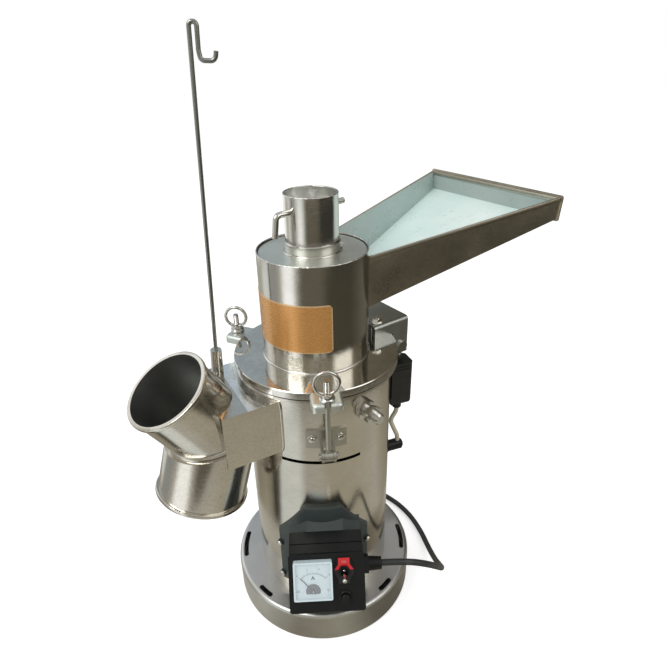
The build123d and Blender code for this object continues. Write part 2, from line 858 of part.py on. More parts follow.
def make_hanger():
    """Rod that holds the bag up, with a folded top and a hook."""
    low = socket_height - socket_depth
    length = hanger_top - duct_high
    fold = 2 * hanger_bend
    hook = 2 * hanger_hook
    wire = [(0, 0, low), (0, 0, length), (fold, 0, length), (fold, 0, length - hanger_fall),
            (fold + 1.5, 0, length - hanger_fall - 8), (fold + hook, 0, length - hanger_fall - 8),
            (fold + hook + 1, 0, length - hanger_fall)]
    bends = [hanger_bend * 0.97, hanger_bend * 0.97, 6, 4, 5]
    return hanger_frame() * swept(wire, hanger_radius, bends)


# Clamps

def make_clamp_bracket(bearing):
    """Bracket on the drum with the pivot pin of a swing bolt."""
    turn = degrees(bracket_half / drum_radius)
    low = clamp_pivot - ear_height / 2
    foot = sector(drum_radius, drum_radius + bracket_thick, low + bracket_rise,
                  low + bracket_rise + bracket_height, -turn, turn)
    inside = eye_width / 2 + fit_gap
    for side in (-1, 1):
        ear = block(drum_radius, clamp_circle + eye_radius, inside, inside + ear_thick,
                    low, low + ear_height)
        ear = fillet(ear.edges().filter_by(Axis.Y).sort_by(Axis.X)[-2:], eye_radius)
        foot += ear if side > 0 else mirror(ear, Plane.XZ)
        screw_turn = degrees((bracket_half + inside + ear_thick) / 2 / drum_radius)
        head = rod((drum_radius + 1, 0, low + screw_rise),
                   (drum_radius + bracket_thick + screw_head, 0, low + screw_rise), screw_radius)
        foot += Rot(0, 0, side * screw_turn) * head
    reach = inside + ear_thick + pin_stands
    foot += rod((clamp_circle, -reach, clamp_pivot), (clamp_circle, reach, clamp_pivot),
                bolt_radius)
    foot -= ring(drum_radius, low - ear_height, low + ear_height + 2 * bracket_height)
    return Rot(0, 0, bearing) * foot


def make_swing_bolt(bearing):
    """Eye bolt that swings out of its lug."""
    half = eye_width / 2
    bolt = rod((0, -half, clamp_pivot), (0, half, clamp_pivot), eye_radius)
    bolt += rod((0, 0, clamp_pivot), (0, 0, bolt_top), bolt_radius)
    bolt -= rod((0, -half - 1, clamp_pivot), (0, half + 1, clamp_pivot), bolt_radius + run_gap)
    return at(bearing, clamp_circle) * bolt


def make_ring_nut(bearing):
    """Nut with a lifting ring for a handle."""
    low = lid_top + fit_gap
    hub = ring(ring_hub, low, low + ring_hub_height)
    hub = chamfer(hub.edges().filter_by(GeomType.CIRCLE), 1.0)
    centre = low + ring_hub_height + ring_radius - ring_wire
    loop = Pos(0, 0, centre) * Rot(90, 0, 0) * Torus(ring_radius, ring_wire)
    nut = hub + loop
    nut -= rod((0, 0, low - 1), (0, 0, bolt_top + 1), bolt_radius + run_gap)
    return at(bearing, clamp_circle) * Rot(0, 0, 90) * nut


# Hinge

def make_strap():
    """Bridge bolted on the lid, its cheeks reaching down over the hinge pin."""
    outer = block(strap_inner, strap_outer, -strap_half, strap_half, strap_low, strap_top)
    outer = fillet(outer.edges().filter_by(Axis.X).sort_by(Axis.Z)[-2:], strap_corner)
    inner = block(strap_inner - 1, strap_outer + 1, -strap_half + strap_wall,
                  strap_half - strap_wall, strap_low - 1, strap_top - strap_wall)
    strap = outer - inner
    wide = 2 * strap_half
    strap -= block(strap_inner - 1, strap_step, -wide, wide, strap_low - 1, lid_top)
    strap -= rod((hinge_pin_along, -wide, hinge_pin_height),
                 (hinge_pin_along, wide, hinge_pin_height), hinge_pin_radius + run_gap)
    strap -= ring(cylinder_radius + bead + 1, lid_top - 1, strap_top + 1)
    for side in (-1, 1):
        strap -= rod((strap_bolt_along, side * strap_bolt_side, lid_top),
                     (strap_bolt_along, side * strap_bolt_side, strap_top + 1), 4.1)
    return Rot(0, 0, hinge_bearing) * strap


def make_strap_bolts():
    """The strap's two bolts, each in a spacer that stands on the lid."""
    bolts = []
    for side in (-1, 1):
        bolt = ring(7, lid_top, strap_top - strap_wall)
        bolt += ring(4, lid_top, strap_top + 8)
        bolt += ring(8, strap_top, strap_top + 1.4)
        head = extrude(RegularPolygon(6.5, 6), 5, dir=(0, 0, 1))
        bolt += Pos(0, 0, strap_top + 1.4) * head
        place = at(hinge_bearing) * Pos(strap_bolt_along, side * strap_bolt_side, 0)
        bolts.append(place * bolt)
    return Compound(bolts)


def make_knuckle():
    """Hinge bracket on the drum with two ears for the pin."""
    low, high = strap_low - knuckle_drop, rim_top - rim_thick - fit_gap - 0.2
    turn = degrees((knuckle_half + knuckle_margin) / drum_radius)
    knuckle = sector(drum_radius, drum_radius + knuckle_skin, low, high, -turn, turn)
    for side in (-1, 1):
        inner, outer = sorted((side * knuckle_half, side * (knuckle_half - knuckle_wall)))
        ear = block(drum_radius - 6, hinge_pin_along + 9, inner, outer, low + 8, high)
        ear = fillet(ear.edges().filter_by(Axis.Y).sort_by(Axis.X)[-2:], 7)
        knuckle += ear
    knuckle -= ring(drum_radius, low - 1, high + 1)
    wide = 2 * knuckle_half
    knuckle -= rod((hinge_pin_along, -wide, hinge_pin_height),
                   (hinge_pin_along, wide, hinge_pin_height), hinge_pin_radius + run_gap)
    return Rot(0, 0, hinge_bearing) * knuckle


def make_hinge_pin():
    """Hinge pin with a head at each end."""
    end = strap_half + 0.2
    pin = rod((hinge_pin_along, -end, hinge_pin_height), (hinge_pin_along, end, hinge_pin_height),
              hinge_pin_radius)
    for side in (-1, 1):
        pin += rod((hinge_pin_along, side * end, hinge_pin_height),
                   (hinge_pin_along, side * (end + 3), hinge_pin_height),
                   hinge_pin_radius + hinge_pin_head)
    return Rot(0, 0, hinge_bearing) * pin


# Limit switch

def make_switch():
    """Limit switch on the drum with its gland underneath."""
    half = switch_width / 2
    front = switch_radius + switch_depth / 2
    back = switch_radius - switch_depth / 2
    body = block(back, front, -half, half, switch_low, switch_high)
    body = chamfer(body.edges().filter_by(Axis.Z).sort_by(Axis.X)[-2:], 4)
    for level in (switch_high - 5, switch_high - 9):
        body -= block(back + 3, front + 1, half - 1, half + 1, level, level + 1.2)
        body -= block(back + 3, front + 1, -half - 1, -half + 1, level, level + 1.2)
        body -= block(front - 1, front + 1, -half, half, level, level + 1.2)
    body += block(drum_radius - 6, back, -half + 4, half - 4, switch_low + 8, switch_high - 8)
    head = rod((switch_radius, 0, switch_high), (switch_radius, 0, switch_high + head_height),
               head_radius)
    gland = rod((switch_radius, 0, switch_low), (switch_radius, 0, switch_low - gland_length),
                gland_radius)
    body = body + head + gland
    body -= rod((switch_radius, 0, switch_high - plunger_sunk), (switch_radius, 0, strap_low),
                plunger_radius + run_gap)
    body -= ring(drum_radius, switch_low - 20, switch_high + 20)
    return Rot(0, 0, switch_bearing) * body


def make_plunger():
    """Sprung plunger that the strap's cheek holds down."""
    low = switch_high - plunger_sunk + plunger_travel + fit_gap
    pin = rod((switch_radius, 0, low), (switch_radius, 0, strap_low - fit_gap), plunger_radius)
    pin = fillet(pin.edges().sort_by(Axis.Z)[-1], 1.2)
    return Rot(0, 0, switch_bearing) * pin


def make_switch_cable():
    """Short cable from the switch's gland to the elbow on the drum."""
    top = switch_low - gland_length
    end = elbow_height + elbow_seat
    points = [(switch_radius, 0, top), (switch_radius, 0, top - 9),
              (switch_radius - 9, 0, top - 22), (switch_radius - 3, 0, top - 38),
              (elbow_reach - 7, 0, end + 8), (elbow_reach - 7, 0, end)]
    return Rot(0, 0, switch_bearing) * swept(points, cable_radius, bend_radii(points))


def make_elbow():
    """Cable elbow screwed into the drum."""
    inner = drum_radius - 2
    elbow = rod((inner, 0, elbow_height), (elbow_reach, 0, elbow_height), elbow_radius)
    elbow = chamfer(elbow.edges().sort_by(Axis.X)[-1], 2.5)
    elbow += rod((inner, 0, elbow_height), (drum_radius + 8, 0, elbow_height), elbow_radius + 1.5)
    elbow -= ring(drum_radius, elbow_height - 30, elbow_height + 30)
    elbow -= block(elbow_reach - 14, elbow_reach + 2, -9, 9, elbow_height + elbow_seat,
                   elbow_height + 20)
    return Rot(0, 0, switch_bearing) * elbow


# Control box

def panel_frame():
    """Frame on the sloping panel: X to the right, Y up the slope, Z out of it."""
    return (Pos(box_shift, -panel_out, panel_height) * Rot(90 - panel_lean, 0, 0))


def make_saddle():
    """Cast adaptor between the round drum and the flat back of the box."""
    plane = Plane.XZ.offset(drum_radius - 30)
    outline = Polygon((-saddle_half, saddle_low), (saddle_half, saddle_low),
                      (saddle_half, saddle_shoulder), (saddle_horn, saddle_top),
                      (-saddle_horn, saddle_top), (-saddle_half, saddle_shoulder), align=None)
    wedge = plane * outline
    block_body = extrude(wedge, 60)
    skin = ring(drum_radius + saddle_skin, saddle_low - 1, saddle_top + 1, drum_radius)
    saddle = block_body & skin
    waist = box_width / 2
    sections = []
    for out, half, high in ((drum_radius - 12, waist, saddle_top - 6), (box_back, waist, box_high)):
        face = Polygon((-half, box_low), (half, box_low), (half, high - 22), (half - 22, high),
                       (-half + 22, high), (-half, high - 22), align=None)
        sections.append(Plane.XZ.offset(out) * Pos(box_shift, 0, 0) * face)
    saddle += loft(sections, ruled=True)
    saddle -= ring(drum_radius, saddle_low - 1, saddle_top + 1)
    for side in (-1, 1):
        for rise in saddle_screw_rises:
            level = saddle_low + rise
            turn = side * degrees(asin((saddle_half - 4) / drum_radius))
            head = rod((drum_radius + 2, 0, level), (drum_radius + saddle_skin + 2.5, 0, level),
                       screw_radius)
            saddle += Rot(0, 0, box_bearing + turn) * head
    return saddle


def make_box():
    """Box with a sloping front, seats for the meter, the toggle and the button."""
    half_slope = panel_length / 2
    lean = radians(panel_lean)
    top = (panel_out - half_slope * sin(lean), panel_height + half_slope * cos(lean))
    low = (panel_out + half_slope * sin(lean), panel_height - half_slope * cos(lean))
    side = Polygon((box_back, box_low), (low[0] - 6, box_low + 2), low, top,
                   (box_back, box_high), align=None)
    plane = Plane(origin=(box_shift + box_width / 2, 0, 0), x_dir=(0, -1, 0), z_dir=(-1, 0, 0))
    body = extrude(plane * side, box_width)
    body -= extrude(plane * Pos(0, 0, box_wall) * offset(side, -box_wall), box_width - 2 * box_wall)
    plate = Box(panel_width, panel_length, panel_thick)
    plate = fillet(plate.edges().filter_by(Axis.Z), 3)
    body = body + panel_frame() * Pos(0, 0, panel_thick / 2 - panel_sunk) * plate
    groove = box_back + groove_in
    body -= block(box_shift - box_width, box_shift + box_width, -groove - groove_wide, -groove,
                  box_high - groove_deep, box_high + box_height)
    for place, radius, depth in ((toggle_shift, 3.0 + run_gap, 4.0),
                                 (button_shift, button_radius + run_gap, button_pocket)):
        hole = Pos(place[0], place[1], panel_thick - panel_sunk - depth / 2 + 0.5)
        body -= panel_frame() * hole * Cylinder(radius, depth + 1)
    return body


def on_panel(place, height=0.0):
    """Frame on the panel's face at a place on it."""
    return panel_frame() * Pos(place[0], place[1], panel_thick - panel_sunk + height)


def needle_place(height):
    """Where the needle turns, low in the middle of the dial."""
    return Pos(0, -meter_side * 0.28, height)


def make_meter():
    """Square meter case with its dial set back in a pocket."""
    case = Box(meter_side, meter_side, meter_depth)
    case = fillet(case.edges().filter_by(Axis.Z), 2)
    pocket = Pos(0, 0, meter_depth / 2 - 2) * Box(meter_side - 4, meter_side - 4, 4.02)
    case = case - pocket
    case += needle_place(-meter_depth / 2) * ring(1.2, meter_depth - 4.5, meter_depth - 3.5)
    case += needle_place(-meter_depth / 2) * ring(needle_pin, meter_depth - 4, meter_depth - 1.6)
    return on_panel(meter_shift, meter_depth / 2) * case


def make_lens():
    """Clear cover of the meter."""
    side = meter_side - 4 - 2 * run_gap
    return on_panel(meter_shift, meter_depth - 0.6) * Box(side, side, 1.2)


def make_needle():
    """Meter needle, at rest on its zero on the left."""
    needle = block(-0.5, 0.5, -4, 21, -0.2, 0.2) + Cylinder(2.6, 0.8)
    needle -= Cylinder(needle_pin + run_gap, 3)
    place = on_panel(meter_shift) * needle_place(meter_depth - 2.6)
    return place * Rot(0, 0, 42) * needle


def make_toggle_plate():
    """Plate behind the toggle with its threaded nut."""
    half_w, half_h = 11.4, 15.6
    outline = Polygon((-half_w * 0.6, half_h), (half_w * 0.6, half_h), (half_w, half_h * 0.3),
                      (half_w, -half_h * 0.1), (half_w * 0.6, -half_h), (-half_w * 0.6, -half_h),
                      (-half_w, -half_h * 0.1), (-half_w, half_h * 0.3), align=None)
    plate = extrude(outline, 1.2, dir=(0, 0, 1))
    plate += Pos(0, 0, 1.2) * extrude(RegularPolygon(7.2, 6), 3.0, dir=(0, 0, 1))
    plate += ring(4.8, 4.0, 6.2)
    plate -= Pos(0, 0, 2.2) * Cone(3.2, 4.4, 9)
    return on_panel(toggle_shift) * plate


def make_lever():
    """Toggle lever on its ball, thrown down."""
    ball = Sphere(3.0)
    stem = rod((0, 0, 0), (0, 0, lever_length), 1.7, 2.7)
    stem += Pos(0, 0, lever_length) * Sphere(2.7)
    return on_panel(toggle_shift, 2.2 - 1.0) * Rot(lever_tilt, 0, 0) * (ball + stem)


def make_button():
    """Round reset button."""
    button = ring(button_radius, -button_sunk, button_stands)
    button = fillet(button.edges().sort_by(Axis.Z)[-1], 1.2)
    return on_panel(button_shift, 0) * button


def make_cord_gland():
    """Gland that the mains cord leaves the box by."""
    side = box_shift + box_width / 2
    start = (side, -cord_gland_out, cord_gland_height)
    gland = rod(start, (side + cord_gland_length, -cord_gland_out, cord_gland_height),
                cord_gland_radius, cord_gland_radius - 2.0)
    hexagon = extrude(Plane(origin=start, z_dir=(1, 0, 0)) * RegularPolygon(11.5, 6), 8)
    return gland + hexagon


def make_chamber_plug():
    """Threaded stud with two nuts that locks the liner through the drum wall."""
    start = (drum_radius - 1, 0, plug_height)
    plug = rod(start, (drum_radius + plug_length, 0, plug_height), plug_radius)
    plug = chamfer(plug.edges().sort_by(Axis.X)[-1], 1.5)
    for out, size, length in ((0, 12.5, 7), (13, 11.0, 7)):
        face = Plane(origin=(drum_radius + out, 0, plug_height), z_dir=(1, 0, 0))
        plug += extrude(face * RegularPolygon(size, 6), length)
    plug -= ring(drum_radius, plug_height - 30, plug_height + 30)
    return Rot(0, 0, plug_bearing) * plug


# Mains cord, coil and plug

def cord_points():
    """The cord's route from its gland round the foot to the coil behind."""
    start = (box_shift + box_width / 2 + cord_gland_length, -cord_gland_out, cord_gland_height)
    end = (coil_centre[0] + coil_radius + coil_band / 2 - 3, coil_centre[1] - 14, cord_on_floor)
    return [start] + cord_route + [end]


def make_cord():
    """The stretch of the cord that isn't coiled."""
    points = cord_points()
    radii = bend_radii(points)
    print("cord radii", [round(value) for value in radii])
    cord = swept(points, cord_radius, radii)
    path = FilletPolyline(*points, radius=radii)
    print("cord length", round(path.length), "volume ratio",
          round(cord.volume / (path.length * pi * cord_radius ** 2), 4))
    return cord - make_coil()


def make_coil():
    """Outer shape of the coiled cord."""
    low = cord_on_floor - cord_radius
    band = ring(coil_radius + coil_band / 2, low, low + coil_band, coil_radius - coil_band / 2)
    band = fillet(band.edges().filter_by(GeomType.CIRCLE), 5)
    return Pos(coil_centre[0], coil_centre[1], 0) * band


def make_plug():
    """Two-pin plug that the cord runs straight into where it leaves the coil."""
    length, width, height = plug_size
    pin_length, pin_apart, pin_size = plug_pins
    middle = height / 2 + cord_on_floor - cord_radius
    body = Pos(0, 0, middle) * Box(length, width, height)
    body = fillet(body.edges().filter_by(Axis.X), 8)
    body += rod((-length / 2, 0, middle), (-length / 2 - plug_tail, 0, middle), 9, 6)
    for side in (-1, 1):
        across = side * pin_apart / 2
        body += rod((length / 2, across, middle), (length / 2 + pin_length, across, middle), pin_size)
    place = Pos(coil_centre[0] - plug_out, coil_centre[1] + coil_outer, 0) * Rot(0, 0, 180)
    return place * body - make_coil()


duct, chute, spout = split_fitting()
stator_high = stator_low + stator_length

pieces = {
    "foot_dish": make_foot(),
    "foot_plate": make_foot_plate(),
    "foot_pads": make_pads(),
    "drum_wall": make_drum(),
    "motor_frame": make_motor_frame(),
    "motor_stator": ring(frame_radius - frame_wall, stator_low, stator_high, stator_bore),
    "motor_windings": make_windings(),
    "end_shields": Compound([
        make_shield(frame_low - shield_thick, frame_low, frame_radius + 4),
        make_shield(frame_top, frame_top - bearing_width, shield_radius),
    ]),
    "motor_bearings": Compound([
        make_bearing(frame_low),
        make_bearing(frame_top - bearing_width),
    ]),
    "rotor_shaft": make_shaft(),
    "rotor_core": ring(stator_bore - air_gap, stator_low - 1, stator_high + 1, shaft_radius),
    "cooling_fan": make_fan(),
    "chamber_floor": make_chamber_floor(),
    "liner_ring": make_liner(),
    "sieve_plate": make_sieve(),
    "hammer_rotor": make_hammer_rotor(),
    "rotor_nut": make_rotor_nut(),
    "chamber_plug": make_chamber_plug(),
    "discharge_duct": duct,
    "discharge_chute": chute,
    "bag_spout": spout,
    "lid_gasket": ring(rim_radius - 2.5, rim_top, lid_low, gasket_bore),
    "lid_plate": make_lid(),
    "feed_cylinder": make_feed_cylinder(),
    "cylinder_crown": make_crown(),
    "inlet_tube": make_feed_tube(),
    "damper": make_damper(),
    "label_plate": make_label(),
    "hopper_tray": make_hopper(),
    "hinge_strap": make_strap(),
    "strap_bolts": make_strap_bolts(),
    "hinge_knuckle": make_knuckle(),
    "hinge_pin": make_hinge_pin(),
    "limit_switch": make_switch(),
    "switch_plunger": make_plunger(),
    "switch_cable": make_switch_cable(),
    "cable_elbow": make_elbow(),
    "hanger_socket": make_socket(),
    "hanger_rod": make_hanger(),
    "box_saddle": make_saddle(),
    "control_box": make_box(),
    "meter_case": make_meter(),
    "meter_lens": make_lens(),
    "meter_needle": make_needle(),
    "toggle_plate": make_toggle_plate(),
    "toggle_lever": make_lever(),
    "reset_button": make_button(),
    "cord_gland": make_cord_gland(),
    "mains_cord": make_cord(),
    "mains_coil": make_coil(),
    "mains_plug": make_plug(),
}
for count in range(hammer_count):
    pieces[f"hammer_{count + 1}"] = make_hammer(45 + 360 / hammer_count * count)
pieces["clamp_brackets"] = Compound([make_clamp_bracket(b) for b in clamp_bearings.values()])
for side, bearing in clamp_bearings.items():
    pieces[f"swing_bolt_{side}"] = make_swing_bolt(bearing)
    pieces[f"ring_nut_{side}"] = make_ring_nut(bearing)

os.makedirs("parts", exist_ok=True)
for name, shape in pieces.items():
    export_step(shape, f"parts/{name}.step")
print(len(pieces), "nodes")
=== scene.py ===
"""Herb grinder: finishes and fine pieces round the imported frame. Metres, Z up, front at -Y."""
from math import asin, cos, degrees, pi, radians, sin

import bmesh
import bpy
from mathutils import Matrix, Vector


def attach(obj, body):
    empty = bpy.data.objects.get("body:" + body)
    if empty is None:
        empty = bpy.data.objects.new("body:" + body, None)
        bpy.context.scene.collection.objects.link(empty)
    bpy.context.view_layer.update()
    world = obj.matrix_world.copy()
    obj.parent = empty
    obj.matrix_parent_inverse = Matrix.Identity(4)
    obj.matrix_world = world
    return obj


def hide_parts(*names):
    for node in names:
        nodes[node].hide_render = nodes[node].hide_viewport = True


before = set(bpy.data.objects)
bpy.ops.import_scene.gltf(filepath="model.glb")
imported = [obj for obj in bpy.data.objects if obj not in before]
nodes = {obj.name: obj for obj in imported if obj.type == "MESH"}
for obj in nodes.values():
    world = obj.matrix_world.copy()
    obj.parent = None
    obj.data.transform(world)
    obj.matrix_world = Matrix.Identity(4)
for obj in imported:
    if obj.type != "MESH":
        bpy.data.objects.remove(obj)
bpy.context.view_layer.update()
scene = bpy.context.scene
MM = 0.001

# Places on the machine, in millimetres as the solids have them
DRUM_RADIUS = 91.3
LUG_START = 100.6
CYLINDER_TOP = 509.7
TUBE_TOP = 571.0
LABEL_LOW, LABEL_HIGH = 410.0, 467.0
LABEL_BEARING, LABEL_REACH = -130.0, 57.0
HOPPER_BEARING = 32.5
DUCT_BEARING = -154.0
DUCT_LOW, DUCT_HIGH = 291.0, 361.0
PANEL_PLACE = (1.8, -148.6, 147.3)
PANEL_LEAN = 26.5
PANEL_FACE = 3.0
METER_SHIFT = (-16.3, 5.7)
METER_SIDE = 45.6
METER_DEPTH = 8.0
NEEDLE_DROP = -METER_SIDE * 0.28
TOGGLE_SHIFT = (20.6, 14.0)
BUTTON_SHIFT = (21.4, -18.0)
CLAMP_BEARINGS = {"front": -85.5, "left": 153.5}
CLAMP_CIRCLE = 113.5
CLAMP_PIVOT = 308.0
NUT_LOW, NUT_HIGH = 383.3, 391.9
PLUG_BEARING = -56.5
PLUG_HEIGHT = 345.0
TRAY_NEAR, TRAY_FAR = 45.0, 289.0
TRAY_RIM_LOW, TRAY_RIM_HIGH = 502.0, 540.0
TRAY_RISE = (TRAY_RIM_HIGH - TRAY_RIM_LOW) / (TRAY_FAR - TRAY_NEAR)
CHUTE_TILT, SPOUT_TILT, SPOUT_TURN = 16.6, 31.0, 13.0
FORK_REACH, FORK_HEIGHT = 139.0, 312.0
FORK_PLACE = (FORK_REACH * cos(radians(DUCT_BEARING)), FORK_REACH * sin(radians(DUCT_BEARING)),
              FORK_HEIGHT)
CHUTE_WAY = (Matrix.Rotation(radians(DUCT_BEARING), 3, "Z")
             @ Vector((sin(radians(CHUTE_TILT)), 0, -cos(radians(CHUTE_TILT)))))
SPOUT_WAY = (Matrix.Rotation(radians(DUCT_BEARING + SPOUT_TURN), 3, "Z")
             @ Vector((sin(radians(SPOUT_TILT)), 0, cos(radians(SPOUT_TILT)))))
ALONG_X = Matrix.Rotation(radians(90), 4, "Y")
UNMOVED = Matrix.Identity(4)


def place(x=0.0, y=0.0, z=0.0, bearing=0.0):
    """A place given in millimetres, turned to a bearing round the motor axis."""
    return Matrix.Rotation(radians(bearing), 4, "Z") @ Matrix.Translation((x * MM, y * MM, z * MM))


def panel(x=0.0, y=0.0, height=0.0):
    """A place on the sloping panel: X to the right, Y up the slope, Z out of it."""
    stand = Matrix.Translation([value * MM for value in PANEL_PLACE])
    lean = Matrix.Rotation(radians(90 - PANEL_LEAN), 4, "X")
    return stand @ lean @ Matrix.Translation((x * MM, y * MM, (PANEL_FACE + height) * MM))


# Camera

CAMERA_PLACE = (0, -0.56967, 0.70431)
CAMERA_PITCH, CAMERA_ROLL, CAMERA_YAW = 28.09, -1.19, 2.20
CAMERA_LENS, SENSOR_WIDTH = 28.806, 36.0


def set_camera():
    """Camera at the photograph's place and angle."""
    pitch, roll, yaw = radians(CAMERA_PITCH), radians(CAMERA_ROLL), radians(CAMERA_YAW)
    forward = Vector((sin(yaw) * cos(pitch), cos(yaw) * cos(pitch), -sin(pitch)))
    level = Vector((cos(yaw), -sin(yaw), 0))
    upward = level.cross(forward)
    across = cos(roll) * level + sin(roll) * upward
    over = -sin(roll) * level + cos(roll) * upward
    data = bpy.data.cameras.new("camera")
    data.sensor_width = SENSOR_WIDTH
    data.lens = CAMERA_LENS
    data.clip_start = 0.01
    data.clip_end = 50.0
    camera = bpy.data.objects.new("camera", data)
    turn = Matrix((across, over, -forward)).transposed().to_4x4()
    camera.matrix_world = Matrix.Translation(CAMERA_PLACE) @ turn
    scene.collection.objects.link(camera)
    scene.camera = camera


set_camera()


# Materials

class Finish:
    """A material under construction, with short ways to add and join its nodes."""

    def __init__(self, name, colour, rough, metal=0.0, **sockets):
        self.material = bpy.data.materials.new(name)
        self.material.use_nodes = True
        self.tree = self.material.node_tree
        self.shader = self.tree.nodes["Principled BSDF"]
        self.shader.inputs["Base Color"].default_value = (*colour, 1)
        self.shader.inputs["Roughness"].default_value = rough
        self.shader.inputs["Metallic"].default_value = metal
        for socket, value in sockets.items():
            self.shader.inputs[socket.replace("_", " ")].default_value = value
        self.place = self.node("ShaderNodeTexCoord").outputs["Object"]

    def node(self, kind, **settings):
        """A new node of a kind."""
        node = self.tree.nodes.new(kind)
        for name, value in settings.items():
            setattr(node, name, value)
        return node

    def join(self, start, end):
        """Links an output to an input."""
        self.tree.links.new(start, end)

    def stretch(self, scale):
        """The piece's own coordinates, scaled along each axis."""
        mapping = self.node("ShaderNodeMapping")
        mapping.inputs["Scale"].default_value = scale
        self.join(self.place, mapping.inputs["Vector"])
        return mapping.outputs["Vector"]

    def noise(self, size, detail=3.0, where=None, rough=0.55):
        """Noise whose grains are about a size across, in metres."""
        node = self.node("ShaderNodeTexNoise")
        node.inputs["Scale"].default_value = 1.0 / size
        node.inputs["Detail"].default_value = detail
        node.inputs["Roughness"].default_value = rough
        self.join(where or self.place, node.inputs["Vector"])
        return node.outputs["Fac"]

    def spread(self, value, low, high, from_low=0.3, from_high=0.7):
        """A value in one range brought into another."""
        node = self.node("ShaderNodeMapRange")
        for name, number in (("From Min", from_low), ("From Max", from_high),
                             ("To Min", low), ("To Max", high)):
            node.inputs[name].default_value = number
        self.join(value, node.inputs["Value"])
        return node.outputs["Result"]

    def math(self, operation, *values):
        """Result of an operation on numbers and outputs."""
        node = self.node("ShaderNodeMath", operation=operation)
        for socket, value in zip(node.inputs, values):
            if isinstance(value, (int, float)):
                socket.default_value = value
            else:
                self.join(value, socket)
        return node.outputs["Value"]

    def blend(self, share, first, second):
        """Colour between two colours."""
        node = self.node("ShaderNodeMix", data_type="RGBA")
        colours = [socket for socket in node.inputs if socket.type == "RGBA"]
        for socket, value in zip(colours, (first, second)):
            if isinstance(value, tuple):
                socket.default_value = (*value, 1)
            else:
                self.join(value, socket)
        self.join(share, node.inputs["Factor"])
        return [socket for socket in node.outputs if socket.type == "RGBA"][0]

    def colour(self, value):
        """Sets the base colour from an output."""
        self.join(value, self.shader.inputs["Base Color"])

    def rough(self, value):
        """Sets the roughness from an output."""
        self.join(value, self.shader.inputs["Roughness"])

    def bump(self, value, depth):
        """Relief of a depth in metres, laid over any relief already there."""
        node = self.node("ShaderNodeBump")
        node.inputs["Strength"].default_value = 1.0
        node.inputs["Distance"].default_value = depth
        self.join(value, node.inputs["Height"])
        normal = self.shader.inputs["Normal"]
        if normal.is_linked:
            self.join(normal.links[0].from_socket, node.inputs["Normal"])
        self.join(node.outputs["Normal"], normal)


def steel(name, colour, rough, grain=(1, 1, 1), grain_size=0.004, smudge=0.06, ripple=0.0):
    """Stainless steel: fine grain, cloudy handling marks and, on thin sheet, a slow ripple."""
    finish = Finish(name, colour, rough, metal=1.0)
    lines = finish.noise(grain_size, 4.0, finish.stretch(grain), 0.6)
    cloud = finish.noise(0.05, 4.0)
    mixed = finish.math("MULTIPLY_ADD", lines, 0.5, finish.math("MULTIPLY", cloud, 0.5))
    dark = tuple(value * 0.86 for value in colour)
    light = tuple(min(value * 1.10, 1.0) for value in colour)
    finish.colour(finish.blend(finish.spread(mixed, 0, 1, 0.35, 0.65), dark, light))
    finish.rough(finish.spread(mixed, rough - smudge / 2, rough + smudge / 2, 0.35, 0.65))
    finish.bump(lines, 0.00004)
    if ripple:
        finish.bump(finish.noise(0.06, 1.0, finish.stretch((1, 1, 0.5))), ripple)
    return finish.material


def weld_metal(name):
    """Weld bead ground down by hand: lumpy and bright."""
    finish = Finish(name, (0.66, 0.66, 0.62), 0.2, metal=1.0)
    lumps = finish.noise(0.004, 2.0)
    finish.colour(finish.blend(finish.spread(lumps, 0, 1), (0.50, 0.49, 0.44), (0.82, 0.83, 0.80)))
    finish.rough(finish.spread(finish.noise(0.006), 0.14, 0.32))
    finish.bump(lumps, 0.0012)
    return finish.material


def plastic(name, colour, rough, grain=0.0006, depth=0.00003, wear=0.12, shine=0.5):
    """Moulded plastic or enamel: fine orange-peel and slightly paler rubbed patches."""
    finish = Finish(name, colour, rough, Specular_IOR_Level=shine)
    worn = finish.spread(finish.noise(0.012, 5.0), 0, wear, 0.45, 0.8)
    pale = tuple(min(value * 2.2 + 0.05, 1.0) for value in colour)
    finish.colour(finish.blend(worn, colour, pale))
    finish.rough(finish.spread(finish.noise(0.006), rough - 0.06, rough + 0.08))
    finish.bump(finish.noise(grain, 2.0), depth)
    return finish.material


def cast_iron(name, colour, rough):
    """Machined casting: pitted and a little blotched."""
    finish = Finish(name, colour, rough, metal=0.9)
    blotch = finish.spread(finish.noise(0.006, 5.0), 0, 1, 0.35, 0.7)
    finish.colour(finish.blend(blotch, colour, tuple(value * 0.6 for value in colour)))
    finish.rough(finish.spread(blotch, rough, rough + 0.15, 0, 1))
    finish.bump(finish.noise(0.0012, 3.0), 0.00008)
    return finish.material


def rubber(name, colour, rough=0.6):
    """Rubber or cable sheath: matt, with a fine skin and some dust."""
    finish = Finish(name, colour, rough)
    dust = finish.spread(finish.noise(0.01, 5.0), 0, 0.25, 0.5, 0.8)
    finish.colour(finish.blend(dust, colour, tuple(value * 0.7 + 0.12 for value in colour)))
    finish.rough(finish.spread(finish.noise(0.004), rough - 0.08, rough + 0.1))
    finish.bump(finish.noise(0.0008, 3.0), 0.00004)
    return finish.material


def copper_wire(name):
    """Varnished windings: round turns side by side."""
    finish = Finish(name, (0.55, 0.24, 0.09), 0.3, metal=0.8)
    turns = finish.node("ShaderNodeTexWave", wave_type="RINGS", rings_direction="Z")
    turns.inputs["Scale"].default_value = 220.0
    turns.inputs["Distortion"].default_value = 1.5
    finish.join(finish.place, turns.inputs["Vector"])
    finish.colour(finish.blend(turns.outputs["Fac"], (0.30, 0.10, 0.03), (0.68, 0.33, 0.14)))
    finish.bump(turns.outputs["Fac"], 0.0003)
    return finish.material


